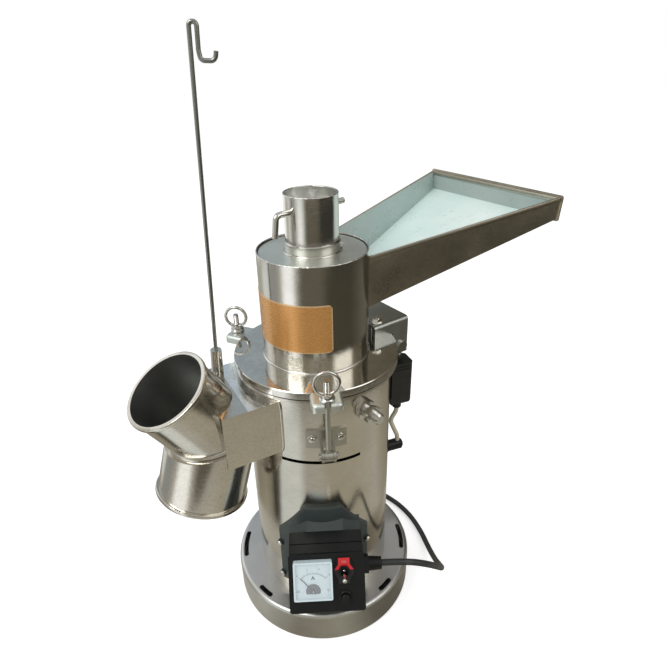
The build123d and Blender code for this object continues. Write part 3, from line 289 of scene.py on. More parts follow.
def label_metal(name):
    """Copper coloured plate, brushed along its length, with a paler rim."""
    finish = Finish(name, (0.60, 0.30, 0.09), 0.26, metal=0.45)
    split = finish.node("ShaderNodeSeparateXYZ")
    finish.join(finish.place, split.inputs["Vector"])
    height = split.outputs["Z"]
    middle, half = (LABEL_LOW + LABEL_HIGH) / 2 * MM, (LABEL_HIGH - LABEL_LOW) / 2 * MM
    up = finish.math("ABSOLUTE", finish.math("SUBTRACT", height, middle))
    bearing = finish.math("ARCTAN2", split.outputs["Y"], split.outputs["X"])
    aside = finish.math("ABSOLUTE", finish.math("SUBTRACT", bearing, radians(LABEL_BEARING)))
    rim = finish.math("MAXIMUM", finish.math("GREATER_THAN", up, half - 1.2 * MM),
                      finish.math("GREATER_THAN", aside, radians(LABEL_REACH - 1.1)))
    brushed = finish.noise(0.004, 4.0, finish.stretch((1, 1, 40)), 0.6)
    face = finish.blend(finish.spread(brushed, 0, 1), (0.50, 0.23, 0.065), (0.70, 0.37, 0.12))
    finish.colour(finish.blend(rim, face, (0.72, 0.50, 0.28)))
    finish.rough(finish.spread(brushed, 0.2, 0.34))
    finish.bump(brushed, 0.00003)
    return finish.material


def painted_dial(name, colour, rough=0.35):
    """Printed card or paint: an even colour with a faint fibre."""
    finish = Finish(name, colour, rough)
    fibre = finish.spread(finish.noise(0.002, 5.0), 0, 1)
    finish.colour(finish.blend(fibre, tuple(value * 0.95 for value in colour), colour))
    finish.bump(fibre, 0.00001)
    return finish.material


def clear_cover(name):
    """Clear acrylic with a few hairline scratches."""
    finish = Finish(name, (0.95, 0.98, 1.0), 0.04, Alpha=0.14)
    scratch = finish.spread(finish.noise(0.003, 6.0, finish.stretch((1, 14, 1))), 0.03, 0.16,
                            0.5, 0.8)
    finish.rough(scratch)
    return finish.material


def thermal_film(name, share):
    """Blue-white protective film left on the tray's inside; a share below one darkens it into
    painted shade.
    """
    plain, low, high = (tuple(value * share for value in colour) for colour in
                        ((0.70, 0.86, 0.82), (0.74, 0.91, 0.87), (0.90, 1.0, 0.96)))
    finish = Finish(name, plain, 0.32, metal=0.12)
    cloud = finish.spread(finish.noise(0.09, 3.0), 0, 1, 0.35, 0.7)
    finish.colour(finish.blend(cloud, low, high))
    finish.rough(finish.spread(finish.noise(0.02, 4.0), 0.24, 0.42))
    finish.bump(finish.noise(0.03, 2.0), 0.00008)
    return finish.material


finishes = {
    "turned_steel": steel("turned_steel", (0.64, 0.62, 0.57), 0.09, (1, 1, 30), 0.006, 0.04),
    "satin_steel": steel("satin_steel", (0.74, 0.78, 0.74), 0.42, (1, 1, 1), 0.002),
    "tube_inside": steel("tube_inside", (0.78, 0.79, 0.76), 0.30, (1, 1, 20), 0.004),
    "drum_steel": steel("drum_steel", (0.60, 0.57, 0.51), 0.13, (1, 1, 16), 0.008,
                        ripple=0.0012),
    "foot_steel": steel("foot_steel", (0.60, 0.60, 0.585), 0.34, (1, 1, 1), 0.0014),
    "fitting_steel": steel("fitting_steel", (0.62, 0.59, 0.53), 0.16, (1, 1, 1), 0.003,
                           ripple=0.0016),
    "tray_steel": steel("tray_steel", (0.52, 0.48, 0.40), 0.33, (1, 1, 1), 0.003, 0.12),
    "hem_steel": steel("hem_steel", (0.46, 0.43, 0.36), 0.3, (1, 1, 1), 0.003),
    # Near-black for the ring in the gap under the crown's edge: painted shade.
    "gap_painted_shade": painted_dial("gap_painted_shade", (0.03, 0.03, 0.028), 0.6),
    "tray_film": thermal_film("tray_film", 1.0),
    # The film on the tray's walls is the same film darkened: painted shade on the sides.
    "wall_film_painted_shade": thermal_film("wall_film_painted_shade", 0.52),
    "bright_steel": steel("bright_steel", (0.66, 0.65, 0.62), 0.17, (1, 1, 1), 0.002),
    # Dark steel for the insides of the spout and chute: painted shade in the bores.
    "bore_painted_shade": steel("bore_painted_shade", (0.26, 0.27, 0.26), 0.5, (1, 1, 6), 0.003),
    "rod_steel": steel("rod_steel", (0.30, 0.315, 0.30), 0.28, (1, 1, 1), 0.002),
    # Near-white steel for the duct's upward faces: a painted highlight.
    "duct_top_painted_highlight": steel("duct_top_painted_highlight", (0.92, 0.94, 0.91), 0.25, (1, 1, 1), 0.003, ripple=0.003),
    "bracket_steel": steel("bracket_steel", (0.48, 0.47, 0.42), 0.33, (1, 1, 1), 0.002),
    "strap_steel": steel("strap_steel", (0.50, 0.53, 0.52), 0.36, (1, 12, 1), 0.003),
    "weld_steel": weld_metal("weld_steel"),
    "casting": cast_iron("casting", (0.20, 0.195, 0.19), 0.45),
    "motor_steel": cast_iron("motor_steel", (0.34, 0.34, 0.35), 0.38),
    "motor_aluminium": steel("motor_aluminium", (0.52, 0.53, 0.54), 0.42, (1, 1, 1), 0.0012),
    "windings": copper_wire("windings"),
    "box_enamel": plastic("box_enamel", (0.007, 0.0085, 0.0085), 0.36, grain=0.0009,
                          depth=0.00004, wear=0.04, shine=0.3),
    "saddle_enamel": plastic("saddle_enamel", (0.035, 0.046, 0.044), 0.38, grain=0.0012,
                             depth=0.00006, wear=0.06, shine=0.4),
    "black_plastic": plastic("black_plastic", (0.006, 0.006, 0.0065), 0.4, shine=0.3),
    "switch_plastic": plastic("switch_plastic", (0.018, 0.018, 0.015), 0.45, shine=0.3),
    "black_rubber": rubber("black_rubber", (0.018, 0.018, 0.018)),
    "cord_sheath": rubber("cord_sheath", (0.022, 0.024, 0.023), 0.45),
    "tie_cloth": rubber("tie_cloth", (0.012, 0.012, 0.013), 0.85),
    "olive_sheath": rubber("olive_sheath", (0.47, 0.43, 0.32), 0.5),
    "label_copper": label_metal("label_copper"),
    "dial_white": painted_dial("dial_white", (0.62, 0.74, 0.77)),
    "dial_ink": painted_dial("dial_ink", (0.02, 0.025, 0.035)),
    "legend_red": painted_dial("legend_red", (0.62, 0.02, 0.025), 0.3),
    "legend_black": painted_dial("legend_black", (0.015, 0.014, 0.014), 0.35),
    "legend_silver": steel("legend_silver", (0.80, 0.78, 0.76), 0.28),
    "cover_clear": clear_cover("cover_clear"),
}
node_finishes = {
    "turned_steel": "lid_plate feed_cylinder inlet_tube",
    "drum_steel": "drum_wall",
    "foot_steel": "foot_dish foot_plate",
    "fitting_steel": "discharge_duct discharge_chute bag_spout",
    "satin_steel": "cylinder_crown",
    "bracket_steel": "clamp_brackets swing_bolt_front swing_bolt_left",
    "strap_steel": "hinge_strap",
    "rod_steel": "hanger_rod",
    "bright_steel": ("damper strap_bolts hinge_knuckle hinge_pin "
                     "switch_plunger hanger_socket "
                     "ring_nut_front ring_nut_left chamber_plug toggle_lever "
                     "chamber_floor sieve_plate"),
    "tray_steel": "hopper_tray",
    "casting": "liner_ring hammer_rotor rotor_nut hammer_1 hammer_2 hammer_3 hammer_4",
    "motor_steel": "motor_stator rotor_shaft rotor_core motor_bearings",
    "motor_aluminium": "motor_frame end_shields cooling_fan",
    "windings": "motor_windings",
    "box_enamel": "control_box toggle_plate",
    "saddle_enamel": "box_saddle",
    "black_plastic": "cable_elbow reset_button cord_gland mains_plug meter_needle",
    "switch_plastic": "limit_switch",
    "black_rubber": "foot_pads lid_gasket mains_cord mains_coil",
    "olive_sheath": "switch_cable",
    "label_copper": "label_plate",
    "dial_white": "meter_case",
    "cover_clear": "meter_lens",
}


CREASE = 32.0
WELD_REACH = 0.00002


def dress(node, finish):
    """Gives a solid its finish, with its curved faces smooth and its edges crisp."""
    node.data.materials.clear()
    node.data.materials.append(finishes[finish])
    node.data.polygons.foreach_set("use_smooth", [True] * len(node.data.polygons))
    weld = node.modifiers.new("weld", "WELD")
    weld.merge_threshold = WELD_REACH
    split = node.modifiers.new("edges", "EDGE_SPLIT")
    split.split_angle = radians(CREASE)
    split.use_edge_sharp = False


for finish_name, members in node_finishes.items():
    for member in members.split():
        dress(nodes[member], finish_name)


def repaint(node, finish, chosen):
    """Gives another finish to the faces whose centre and normal pass a test."""
    mesh = nodes[node].data
    mesh.materials.append(finishes[finish])
    latest = len(mesh.materials) - 1
    for face in mesh.polygons:
        if chosen(face.center, face.normal):
            face.material_index = latest


RIM_BELOW = 4.0


def tray_inside(centre, normal):
    """True on the tray's inner faces, below its rim."""
    turn = Matrix.Rotation(radians(-HOPPER_BEARING), 3, "Z")
    spot, facing = turn @ centre, turn @ normal
    if facing.z > 0.9:
        return spot.z < (TRAY_RIM_LOW - RIM_BELOW) * MM + (spot.x - TRAY_NEAR * MM) * TRAY_RISE
    return spot.x < TRAY_FAR * MM and (facing.x < -0.9 or spot.y * facing.y < -0.001)


def bore_inside(start, way):
    """A test that is true on the inner faces of a tube along a line from a point."""
    def test(centre, normal):
        line = Vector(way).normalized()
        out = centre - Vector(start) * MM
        return (out - out.dot(line) * line).dot(normal) < 0 and abs(normal.dot(line)) < 0.5
    return test


repaint("hopper_tray", "tray_film", tray_inside)
# The tray's inner walls get the darkened copy of the film: painted shade.
repaint("hopper_tray", "wall_film_painted_shade",
        lambda centre, normal: tray_inside(centre, normal) and normal.z < 0.5)
# The duct's top faces are made near white: painted highlight.
repaint("discharge_duct", "duct_top_painted_highlight", lambda centre, normal: normal.z > 0.9)
repaint("lid_plate", "satin_steel", lambda centre, normal: centre.xy.length > LUG_START * MM)
repaint("inlet_tube", "tube_inside", bore_inside((0, 0, 0), (0, 0, 1)))
# The inner faces of the spout and the chute are darkened: painted shade.
repaint("bag_spout", "bore_painted_shade", bore_inside(FORK_PLACE, SPOUT_WAY))
repaint("discharge_chute", "bore_painted_shade", bore_inside(FORK_PLACE, CHUTE_WAY))


# New pieces

def stand(name, mesh, *materials):
    """New object of the scene from a bmesh, which is freed."""
    data = bpy.data.meshes.new(name)
    mesh.to_mesh(data)
    mesh.free()
    for material in materials:
        data.materials.append(material)
    made = bpy.data.objects.new(name, data)
    scene.collection.objects.link(made)
    return made


def piece(name, mesh, body, slot, *materials, smooth=True, matrix=None, angle=CREASE):
    """Finished piece from a bmesh, riding on a body."""
    if matrix is not None:
        bmesh.ops.transform(mesh, matrix=matrix, verts=mesh.verts)
    bmesh.ops.recalc_face_normals(mesh, faces=mesh.faces)
    made = stand(name, mesh, *(finishes[material] for material in materials))
    if smooth:
        made.data.polygons.foreach_set("use_smooth", [True] * len(made.data.polygons))
        made.data.set_sharp_from_angle(angle=radians(angle))
    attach(made, body)
    return made


def turned(profile, steps=64):
    """Bmesh of a profile of (radius, height) points, in millimetres, spun round Z."""
    mesh = bmesh.new()
    points = [mesh.verts.new((radius * MM, 0, height * MM)) for radius, height in profile]
    edges = [mesh.edges.new(pair) for pair in zip(points, points[1:])]
    bmesh.ops.spin(mesh, geom=points + edges, cent=(0, 0, 0), axis=(0, 0, 1), angle=2 * pi,
                   steps=steps, use_merge=True)
    bmesh.ops.remove_doubles(mesh, verts=mesh.verts, dist=0.000002)
    return mesh


def add(mesh, other, matrix):
    """Joins another bmesh into this one at a place, and frees it."""
    bmesh.ops.transform(other, matrix=matrix, verts=other.verts)
    data = bpy.data.meshes.new("part")
    other.to_mesh(data)
    other.free()
    mesh.from_mesh(data)
    bpy.data.meshes.remove(data)


def slab(width, depth, height):
    """Bmesh of a block in millimetres, centred."""
    mesh = bmesh.new()
    bmesh.ops.create_cube(mesh, size=1)
    bmesh.ops.scale(mesh, vec=(width * MM, depth * MM, height * MM), verts=mesh.verts)
    return mesh


def hexagon(across, height, bevel):
    """Bmesh of a hexagon nut's body, standing on z = 0, its corners taken off."""
    mesh = bmesh.new()
    bmesh.ops.create_circle(mesh, cap_ends=True, segments=6, radius=across * MM)
    raised = bmesh.ops.extrude_face_region(mesh, geom=mesh.faces[:])
    top = [item for item in raised["geom"] if isinstance(item, bmesh.types.BMVert)]
    bmesh.ops.translate(mesh, vec=(0, 0, height * MM), verts=top)
    bmesh.ops.bevel(mesh, geom=mesh.edges[:], offset=bevel * MM, segments=2,
                    affect="EDGES", profile=0.5, material=-1)
    return mesh


THREAD_STEPS = 20


def thread(root, crest, low, high, pitch):
    """Bmesh of a screw thread: one ridge swept up a helix."""
    mesh = bmesh.new()
    half = pitch * 0.42
    shape = ((root, -half), (crest, -half * 0.2), (crest, half * 0.2), (root, half))
    points = [mesh.verts.new((radius * MM, 0, (low + half + rise) * MM)) for radius, rise in shape]
    edges = [mesh.edges.new(pair) for pair in zip(points, points[1:])]
    turns = (high - low - 2 * half) / pitch
    bmesh.ops.spin(mesh, geom=points + edges, cent=(0, 0, 0), axis=(0, 0, 1),
                   angle=2 * pi * turns, steps=int(THREAD_STEPS * turns),
                   dvec=(0, 0, pitch * MM / THREAD_STEPS), use_merge=False)
    return mesh


def screw_head(radius, height, socket=True):
    """Bmesh of a round screw head standing on z = 0, with or without a hexagon at its top."""
    mesh = turned([(0, 0), (radius, 0), (radius, height * 0.45), (radius * 0.8, height * 0.85),
                   (radius * 0.5, height), (0, height)], 28)
    if socket:
        add(mesh, hexagon(radius * 0.42, height * 0.1, 0.05), place(0, 0, height * 0.98))
    return mesh


# Swing bolts: the threads over the ring nuts, and the caps of their pivot pins

STUD_LOW, STUD_HIGH = 392.4, 406.2
CAP_REACH = 9.5
for side, bearing in CLAMP_BEARINGS.items():
    stud = thread(2.95, 3.35, STUD_LOW, STUD_HIGH, 1.5)
    piece(f"bolt_thread_{side}", stud, f"bolt_{side}", "chrome", "bright_steel",
          matrix=place(CLAMP_CIRCLE, 0, 0, bearing))
    pins = bmesh.new()
    for end in (-1, 1):
        cap = turned([(0, 0), (4.6, 0), (4.6, 1.0), (3.4, 1.9), (0, 2.2)], 24)
        turn = Matrix.Rotation(radians(-90 * end), 4, "X")
        add(pins, cap, place(0, end * CAP_REACH, 0) @ turn)
    piece(f"pivot_caps_{side}", pins, "base", "sheet_steel", "bright_steel",
          matrix=place(CLAMP_CIRCLE, 0, CLAMP_PIVOT, bearing))


# Chamber plug: threads between and beyond its nuts

plug_thread = bmesh.new()
for low, high in ((7.4, 12.8), (20.4, 28.8)):
    add(plug_thread, thread(6.4, 7.1, low, high, 1.8), UNMOVED)
piece("plug_thread", plug_thread, "base", "chrome", "bright_steel",
      matrix=place(DRUM_RADIUS, 0, PLUG_HEIGHT, PLUG_BEARING) @ ALONG_X)


# Ring nuts, each with its ring of round wire turned its own way

def hoop(radius, wire, steps=48):
    """Bmesh of a ring of round wire, its axis along Z."""
    mesh = bmesh.new()
    bmesh.ops.create_circle(mesh, segments=16, radius=wire * MM)
    bmesh.ops.rotate(mesh, cent=(0, 0, 0), matrix=Matrix.Rotation(radians(90), 3, "X"),
                     verts=mesh.verts)
    bmesh.ops.translate(mesh, vec=(radius * MM, 0, 0), verts=mesh.verts)
    bmesh.ops.spin(mesh, geom=mesh.verts[:] + mesh.edges[:], cent=(0, 0, 0), axis=(0, 0, 1),
                   angle=2 * pi, steps=steps, use_merge=True)
    return mesh


RING_RADIUS, RING_WIRE, RING_HEIGHT = 13.2, 2.0, 403.5
for side, facing in (("front", -85.5), ("left", -98.0)):
    spot = place(CLAMP_CIRCLE, 0, 0, CLAMP_BEARINGS[side])
    nut = turned([(3.4, NUT_LOW), (7.6, NUT_LOW), (8.5, NUT_LOW + 1), (8.5, NUT_LOW + 3.2),
                  (7.4, NUT_LOW + 4.2), (7.4, NUT_HIGH - 2), (6.2, NUT_HIGH), (3.4, NUT_HIGH),
                  (3.4, NUT_LOW)], 36)
    add(nut, hoop(RING_RADIUS, RING_WIRE),
        place(0, 0, RING_HEIGHT, facing - CLAMP_BEARINGS[side]) @ ALONG_X)
    loop = piece(f"lifting_nut_{side}", nut, f"nut_{side}", "chrome", "bright_steel", matrix=spot)
    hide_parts(f"ring_nut_{side}")


# Screws and washers of the front and left brackets

SCREWS_APART, SCREW_HEIGHT, BRACKET_OUT = 30.9, 316.5, 2.5
SCREW_TURN = degrees(SCREWS_APART / 2 / DRUM_RADIUS)
for side, bearing in CLAMP_BEARINGS.items():
    heads = bmesh.new()
    for end in (-1, 1):
        spot = place(DRUM_RADIUS + BRACKET_OUT, 0, SCREW_HEIGHT, bearing + end * SCREW_TURN)
        washer = turned([(4.6, 0), (5.6, 0), (5.6, 0.9), (5.2, 1.2), (4.6, 1.2), (4.6, 0)], 32)
        add(heads, washer, spot @ ALONG_X)
        add(heads, screw_head(4.2, 2.9), spot @ ALONG_X)
    piece(f"bracket_screws_{side}", heads, "base", "chrome", "bright_steel")


# Welds and rims

def bead(name, points, radius, finish, closed=False):
    """Round bead of weld along a line of points, in millimetres."""
    line = bpy.data.curves.new(name, "CURVE")
    line.dimensions = "3D"
    line.bevel_depth = radius * MM
    line.bevel_resolution = 3
    line.use_fill_caps = not closed
    spline = line.splines.new("NURBS")
    spline.points.add(len(points) - 1)
    for point, spot in zip(spline.points, points):
        point.co = (*(value * MM for value in spot), 1)
    spline.order_u = 3
    spline.use_endpoint_u = not closed
    spline.use_cyclic_u = closed
    spline.resolution_u = 4
    line.materials.append(finishes[finish])
    made = bpy.data.objects.new(name, line)
    scene.collection.objects.link(made)
    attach(made, "base")


def round_the_drum(bearing, height):
    """A point on the drum's wall, in millimetres."""
    turn = radians(bearing)
    return (DRUM_RADIUS * cos(turn), DRUM_RADIUS * sin(turn), height)


# Wedges between the duct's straight end and the round drum, seen from above
CHEEK = ((73.9, 54.0), (80.2, 54.0), (80.2, 44.5), (79.4, 44.5))
cheeks = bmesh.new()
for side in (-1, 1):
    corners = [cheeks.verts.new((x * MM, side * y * MM, height * MM))
               for x, y in CHEEK for height in (DUCT_LOW, DUCT_HIGH)]
    bmesh.ops.convex_hull(cheeks, input=corners)
piece("duct_cheeks", cheeks, "base", "sheet_steel", "fitting_steel", smooth=False,
      matrix=place(bearing=DUCT_BEARING))

DUCT_TURN, DUCT_BEAD = 36.3, 1.8
across = (-DUCT_TURN + 2, -18, 0, 18, DUCT_TURN - 2)
upward = (DUCT_LOW + 3, 318, 340, DUCT_HIGH - 3)
joint = [round_the_drum(DUCT_BEARING + turn, DUCT_HIGH - 1) for turn in across]
joint += [round_the_drum(DUCT_BEARING + DUCT_TURN, height) for height in reversed(upward)]
joint += [round_the_drum(DUCT_BEARING + turn, DUCT_LOW + 1) for turn in reversed(across)]
joint += [round_the_drum(DUCT_BEARING - DUCT_TURN, height) for height in upward]
bead("duct_weld", joint, DUCT_BEAD, "fitting_steel", closed=True)


RING_POINTS = 32
FORK_RING, FORK_BEAD = 43.6, 7.0


def mitre_ring(radius, way):
    """Points where a tube from the fork meets the plane between its chute and spout."""
    line = Vector(way).normalized()
    across = line.orthogonal().normalized()
    over = line.cross(across)
    facing = (SPOUT_WAY - CHUTE_WAY).normalized()
    points = []
    for step in range(RING_POINTS):
        turn = 2 * pi * step / RING_POINTS
        out = radius * (cos(turn) * across + sin(turn) * over)
        points.append(Vector(FORK_PLACE) + out - line * (out.dot(facing) / line.dot(facing)))
    return points


bead("fork_weld", mitre_ring(FORK_RING, CHUTE_WAY), FORK_BEAD, "fitting_steel", closed=True)
for name, radius, wire, height in (("tube_rim", 29.15, 0.8, TUBE_TOP),
                                   ("cylinder_rim", 62.4, 0.85, CYLINDER_TOP)):
    piece(name, hoop(radius, wire, 72), "base", "sheet_steel", "weld_steel",
          matrix=place(0, 0, height))
# A thin near-black ring laid in the gap between the crown and the cylinder: painted shade.
GAP_INNER, GAP_OUTER, GAP_LOW, GAP_HIGH = 60.4, 61.8, 508.0, 508.3
gap = turned([(GAP_INNER, GAP_LOW), (GAP_OUTER, GAP_LOW), (GAP_OUTER, GAP_HIGH),
              (GAP_INNER, GAP_HIGH), (GAP_INNER, GAP_LOW)], 72)
piece("crown_gap_painted_shade", gap, "base", "sheet_steel", "gap_painted_shade")


# The tray's folded hem

HEM_CORNERS = ((45.0, -46.4), (288.8, -108.6), (288.8, 108.6), (45.0, 46.4))
HEM_LIFT, HEM_DEPTH, HEM_THICKNESS, HEM_EDGE = 0.5, 5.5, 2.4, 0.4
hem = bmesh.new()
points = []
for x, y in HEM_CORNERS:
    height = TRAY_RIM_LOW + HEM_LIFT + (x - TRAY_NEAR) * TRAY_RISE
    points.append(hem.verts.new((x * MM, y * MM, height * MM)))
edges = [hem.edges.new(pair) for pair in zip(points, points[1:])]
grown = bmesh.ops.extrude_edge_only(hem, edges=edges)
bmesh.ops.translate(hem, vec=(0, 0, -HEM_DEPTH * MM),
                    verts=[v for v in grown["geom"] if isinstance(v, bmesh.types.BMVert)])
bmesh.ops.recalc_face_normals(hem, faces=hem.faces)
bmesh.ops.solidify(hem, geom=hem.faces[:], thickness=HEM_THICKNESS * MM)
bmesh.ops.bevel(hem, geom=hem.edges[:], offset=HEM_EDGE * MM, segments=2, affect="EDGES",
                profile=0.5, material=-1)
piece("tray_hem", hem, "base", "sheet_steel", "hem_steel", matrix=place(bearing=HOPPER_BEARING))


# Meter

LETTER_RISE = 0.04


def dial_arc(inner, outer, start, end):
    """Bmesh of a flat arc on the dial, angles measured from straight up, clockwise."""
    mesh = bmesh.new()
    points = [mesh.verts.new((0, radius * MM, 0)) for radius in (inner, outer)]
    edge = mesh.edges.new(points)
    bmesh.ops.rotate(mesh, cent=(0, 0, 0), matrix=Matrix.Rotation(radians(-start), 3, "Z"),
                     verts=points)
    bmesh.ops.spin(mesh, geom=points + [edge], cent=(0, 0, 0), axis=(0, 0, 1),
                   angle=radians(start - end), steps=40, use_merge=False)
    return mesh


def letters(text, size, bold=0.0):
    """Bmesh of raised letters or numbers, centred."""
    curve = bpy.data.curves.new("letters", "FONT")
    curve.body = text
    curve.size = size * MM
    curve.align_x = "CENTER"
    curve.align_y = "CENTER"
    curve.extrude = LETTER_RISE * MM
    curve.offset = bold * MM
    curve.resolution_u = 3
    holder = bpy.data.objects.new("letters", curve)
    scene.collection.objects.link(holder)
    data = bpy.data.meshes.new_from_object(
        holder.evaluated_get(bpy.context.evaluated_depsgraph_get()))
    bpy.data.objects.remove(holder)
    mesh = bmesh.new()
    mesh.from_mesh(data)
    bpy.data.meshes.remove(data)
    return mesh


DIAL_HEIGHT = METER_DEPTH - 4.0
DIAL_MIDDLE = (METER_SHIFT[0], METER_SHIFT[1] + NEEDLE_DROP)
SCALE_START, SCALE_END, SCALE_STEP = -45, 45, 3
TICK_FOOT, TICK_RISE, NUMBER_RADIUS = 20.6, 0.06, 26.6
dial = bmesh.new()
add(dial, dial_arc(TICK_FOOT - 0.2, TICK_FOOT + 0.2, SCALE_START - 1, SCALE_END + 1), UNMOVED)
for step, angle in enumerate(range(SCALE_START, SCALE_END + 1, SCALE_STEP)):
    reach = 24.4 if step % 10 == 0 else 23.0 if step % 5 == 0 else 22.2
    width = 0.32 if step % 5 == 0 else 0.18
    tick = slab(width, reach - TICK_FOOT, TICK_RISE)
    lift = Matrix.Translation((0, (reach + TICK_FOOT) / 2 * MM, 0))
    add(dial, tick, Matrix.Rotation(radians(-angle), 4, "Z") @ lift)
for angle, number in ((-45, "0"), (-15, "5"), (15, "10"), (45, "15")):
    spot = Matrix.Rotation(radians(-angle), 4, "Z") @ place(0, NUMBER_RADIUS)
    upright = Matrix.Rotation(radians(angle), 4, "Z")
    add(dial, letters(number, 3.0), spot @ upright)
add(dial, letters("A", 6.4, bold=0.22), place(0, 15.5))
piece("dial_marks", dial, "base", "white_dial", "dial_ink", smooth=False,
      matrix=panel(*DIAL_MIDDLE, DIAL_HEIGHT + 0.06))

WINDOW_RADIUS, WINDOW_FOOT = 8.6, 3.2
window = bmesh.new()
bmesh.ops.create_circle(window, cap_ends=True, segments=48, radius=WINDOW_RADIUS * MM)
bmesh.ops.bisect_plane(window, geom=window.verts[:] + window.edges[:] + window.faces[:],
                       plane_co=(0, -WINDOW_FOOT * MM, 0), plane_no=(0, -1, 0),
                       clear_outer=True)
raised = bmesh.ops.extrude_face_region(window, geom=window.faces[:])
bmesh.ops.translate(window, vec=(0, 0, 0.5 * MM),
                    verts=[v for v in raised["geom"] if isinstance(v, bmesh.types.BMVert)])
piece("dial_window", window, "base", "black_plastic", "dial_ink", smooth=False,
      matrix=panel(*DIAL_MIDDLE, DIAL_HEIGHT + 0.02))

SCREW_REACH = 17.5
screws = bmesh.new()
for side in (-1, 1):
    add(screws, screw_head(1.5, 0.9, socket=False), place(side * SCREW_REACH))
    add(screws, slab(2.2, 0.4, 0.3), place(side * SCREW_REACH, 0, 0.85))
piece("dial_screws", screws, "base", "chrome", "bright_steel",
      matrix=panel(DIAL_MIDDLE[0], DIAL_MIDDLE[1] + 0.5, DIAL_HEIGHT + 0.02))


# Toggle: its printed plate, red above and black below a silver rim, and its words

LEGEND_HALF_WIDTH, LEGEND_HALF_HEIGHT = 11.4 * 0.985, 15.6 * 0.985
LEGEND_SIDE = ((0.6, 1), (0.6, 0.5), (1, 0.1), (1, -0.25), (0.6, -0.65), (0.6, -1))
LEGEND_RIM, LEGEND_SPLIT = 0.9, 1.2
legend = bmesh.new()
outline = LEGEND_SIDE + tuple((-x, y) for x, y in reversed(LEGEND_SIDE))
legend.faces.new([legend.verts.new((x * LEGEND_HALF_WIDTH * MM, y * LEGEND_HALF_HEIGHT * MM, 0))
                  for x, y in outline])
rim = bmesh.ops.inset_region(legend, faces=legend.faces[:], thickness=LEGEND_RIM * MM,
                             use_boundary=True)["faces"]
middle = [face for face in legend.faces if face not in rim]
for face in middle:
    face.material_index = 1
bmesh.ops.bisect_plane(legend, geom=middle + list({e for f in middle for e in f.edges}),
                       plane_co=(0, LEGEND_SPLIT * MM, 0), plane_no=(0, 1, 0))
for face in legend.faces:
    if face.material_index == 1 and face.calc_center_median().y < LEGEND_SPLIT * MM:
        face.material_index = 2
piece("toggle_legend", legend, "base", "red_paint", "legend_silver", "legend_red",
      "legend_black", smooth=False, matrix=panel(*TOGGLE_SHIFT, 1.22))
words = bmesh.new()
add(words, letters("ON", 3.4), place(0, 10.6))
add(words, letters("OFF", 3.0), place(0, -12.6))
piece("toggle_words", words, "base", "red_paint", "legend_silver", smooth=False,
      matrix=panel(*TOGGLE_SHIFT, 1.24))


# Reset button's rim

button_ring = turned([(5.4, -0.1), (8.0, -0.1), (8.0, 1.4), (7.2, 2.2), (5.9, 2.2), (5.4, 1.6),
                      (5.4, -0.1)], 48)
piece("button_ring", button_ring, "base", "black_plastic", "black_plastic",
      matrix=panel(*BUTTON_SHIFT))


# Screws of the saddle

EAR_MIDDLE, EAR_OUT, EAR_LEVELS = 53.0, 7.4, (80.0, 138.0)
saddle_screws = bmesh.new()
for side in (-1, 1):
    for level in EAR_LEVELS:
        turn = degrees(asin(EAR_MIDDLE / DRUM_RADIUS)) * side
        spot = place(DRUM_RADIUS + EAR_OUT, 0, level, -90.0 + turn) @ ALONG_X
        add(saddle_screws, screw_head(3.9, 2.2), spot)
piece("saddle_screws", saddle_screws, "base", "chrome", "bright_steel")


# Mains cord

CORD_RADIUS = 4.0
COIL_CENTRE = (-6.0, 202.0)
COIL_LAYERS = ((50.2, 4.05), (42.2, 4.05), (42.2, 12.1), (50.2, 12.1))
COIL_STEP = 22.5
COIL_START = -22.5
COIL_END = 90.0
PLUG_ENTRY = [(-17.0, 252.3, 12.4), (-26.0, 252.2, 12.9), (-33.0, 252.2, 13.0)]
CORD_ROUTE = [
    (69.8, -121.0, 141.0), (101.0, -121.0, 141.0), (129.0, -117.0, 129.0),
    (149.0, -103.0, 104.0), (160.0, -82.0, 75.0), (165.0, -56.0, 47.0), (166.0, -26.0, 23.0),
    (164.0, 9.0, 8.0), (159.0, 46.0, 4.05), (146.0, 84.0, 4.05), (122.0, 118.0, 4.05),
    (90.0, 143.0, 4.05),
]


def coil_points():
    """The coil: two turns on the floor from the outside in, then over them and out again."""
    points = []
    steps = int((360 * 3 + COIL_END - COIL_START) / COIL_STEP)
    for step in range(steps + 1):
        turn, share = divmod(step * COIL_STEP / 360, 1)
        here = COIL_LAYERS[int(turn)]
        after = COIL_LAYERS[min(int(turn) + 1, 3)]
        share = max(0.0, share - 0.75) * 4
        out = here[0] + (after[0] - here[0]) * share
        rise = here[1] + (after[1] - here[1]) * share
        angle = radians(COIL_START + step * COIL_STEP)
        points.append((COIL_CENTRE[0] + out * cos(angle), COIL_CENTRE[1] + out * sin(angle), rise))
    return points


def make_cord():
    """The lead: one smooth line from its gland to the plug."""
    line = bpy.data.curves.new("mains_lead", "CURVE")
    line.dimensions = "3D"
    line.bevel_depth = CORD_RADIUS * MM
    line.bevel_resolution = 5
    line.use_fill_caps = True
    spline = line.splines.new("NURBS")
    route = CORD_ROUTE + coil_points() + PLUG_ENTRY
    spline.points.add(len(route) - 1)
    for point, (x, y, z) in zip(spline.points, route):
        point.co = (x * MM, y * MM, z * MM, 1)
    spline.order_u = 3
    spline.use_endpoint_u = True
    spline.resolution_u = 8
    lead = bpy.data.objects.new("mains_lead", line)
    scene.collection.objects.link(lead)
    lead.data.materials.append(finishes["cord_sheath"])
    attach(lead, "base")
    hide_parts("mains_cord", "mains_coil")
    return lead


lead = make_cord()

TIE_HALF, TIE_CORNER, TIE_WIDTH, TIE_THICKNESS = 8.6, 4.2, 11.0, 0.7
TIE_REACH, TIE_HEIGHT, TIE_BEARING = 46.2, 9.0, -150.0


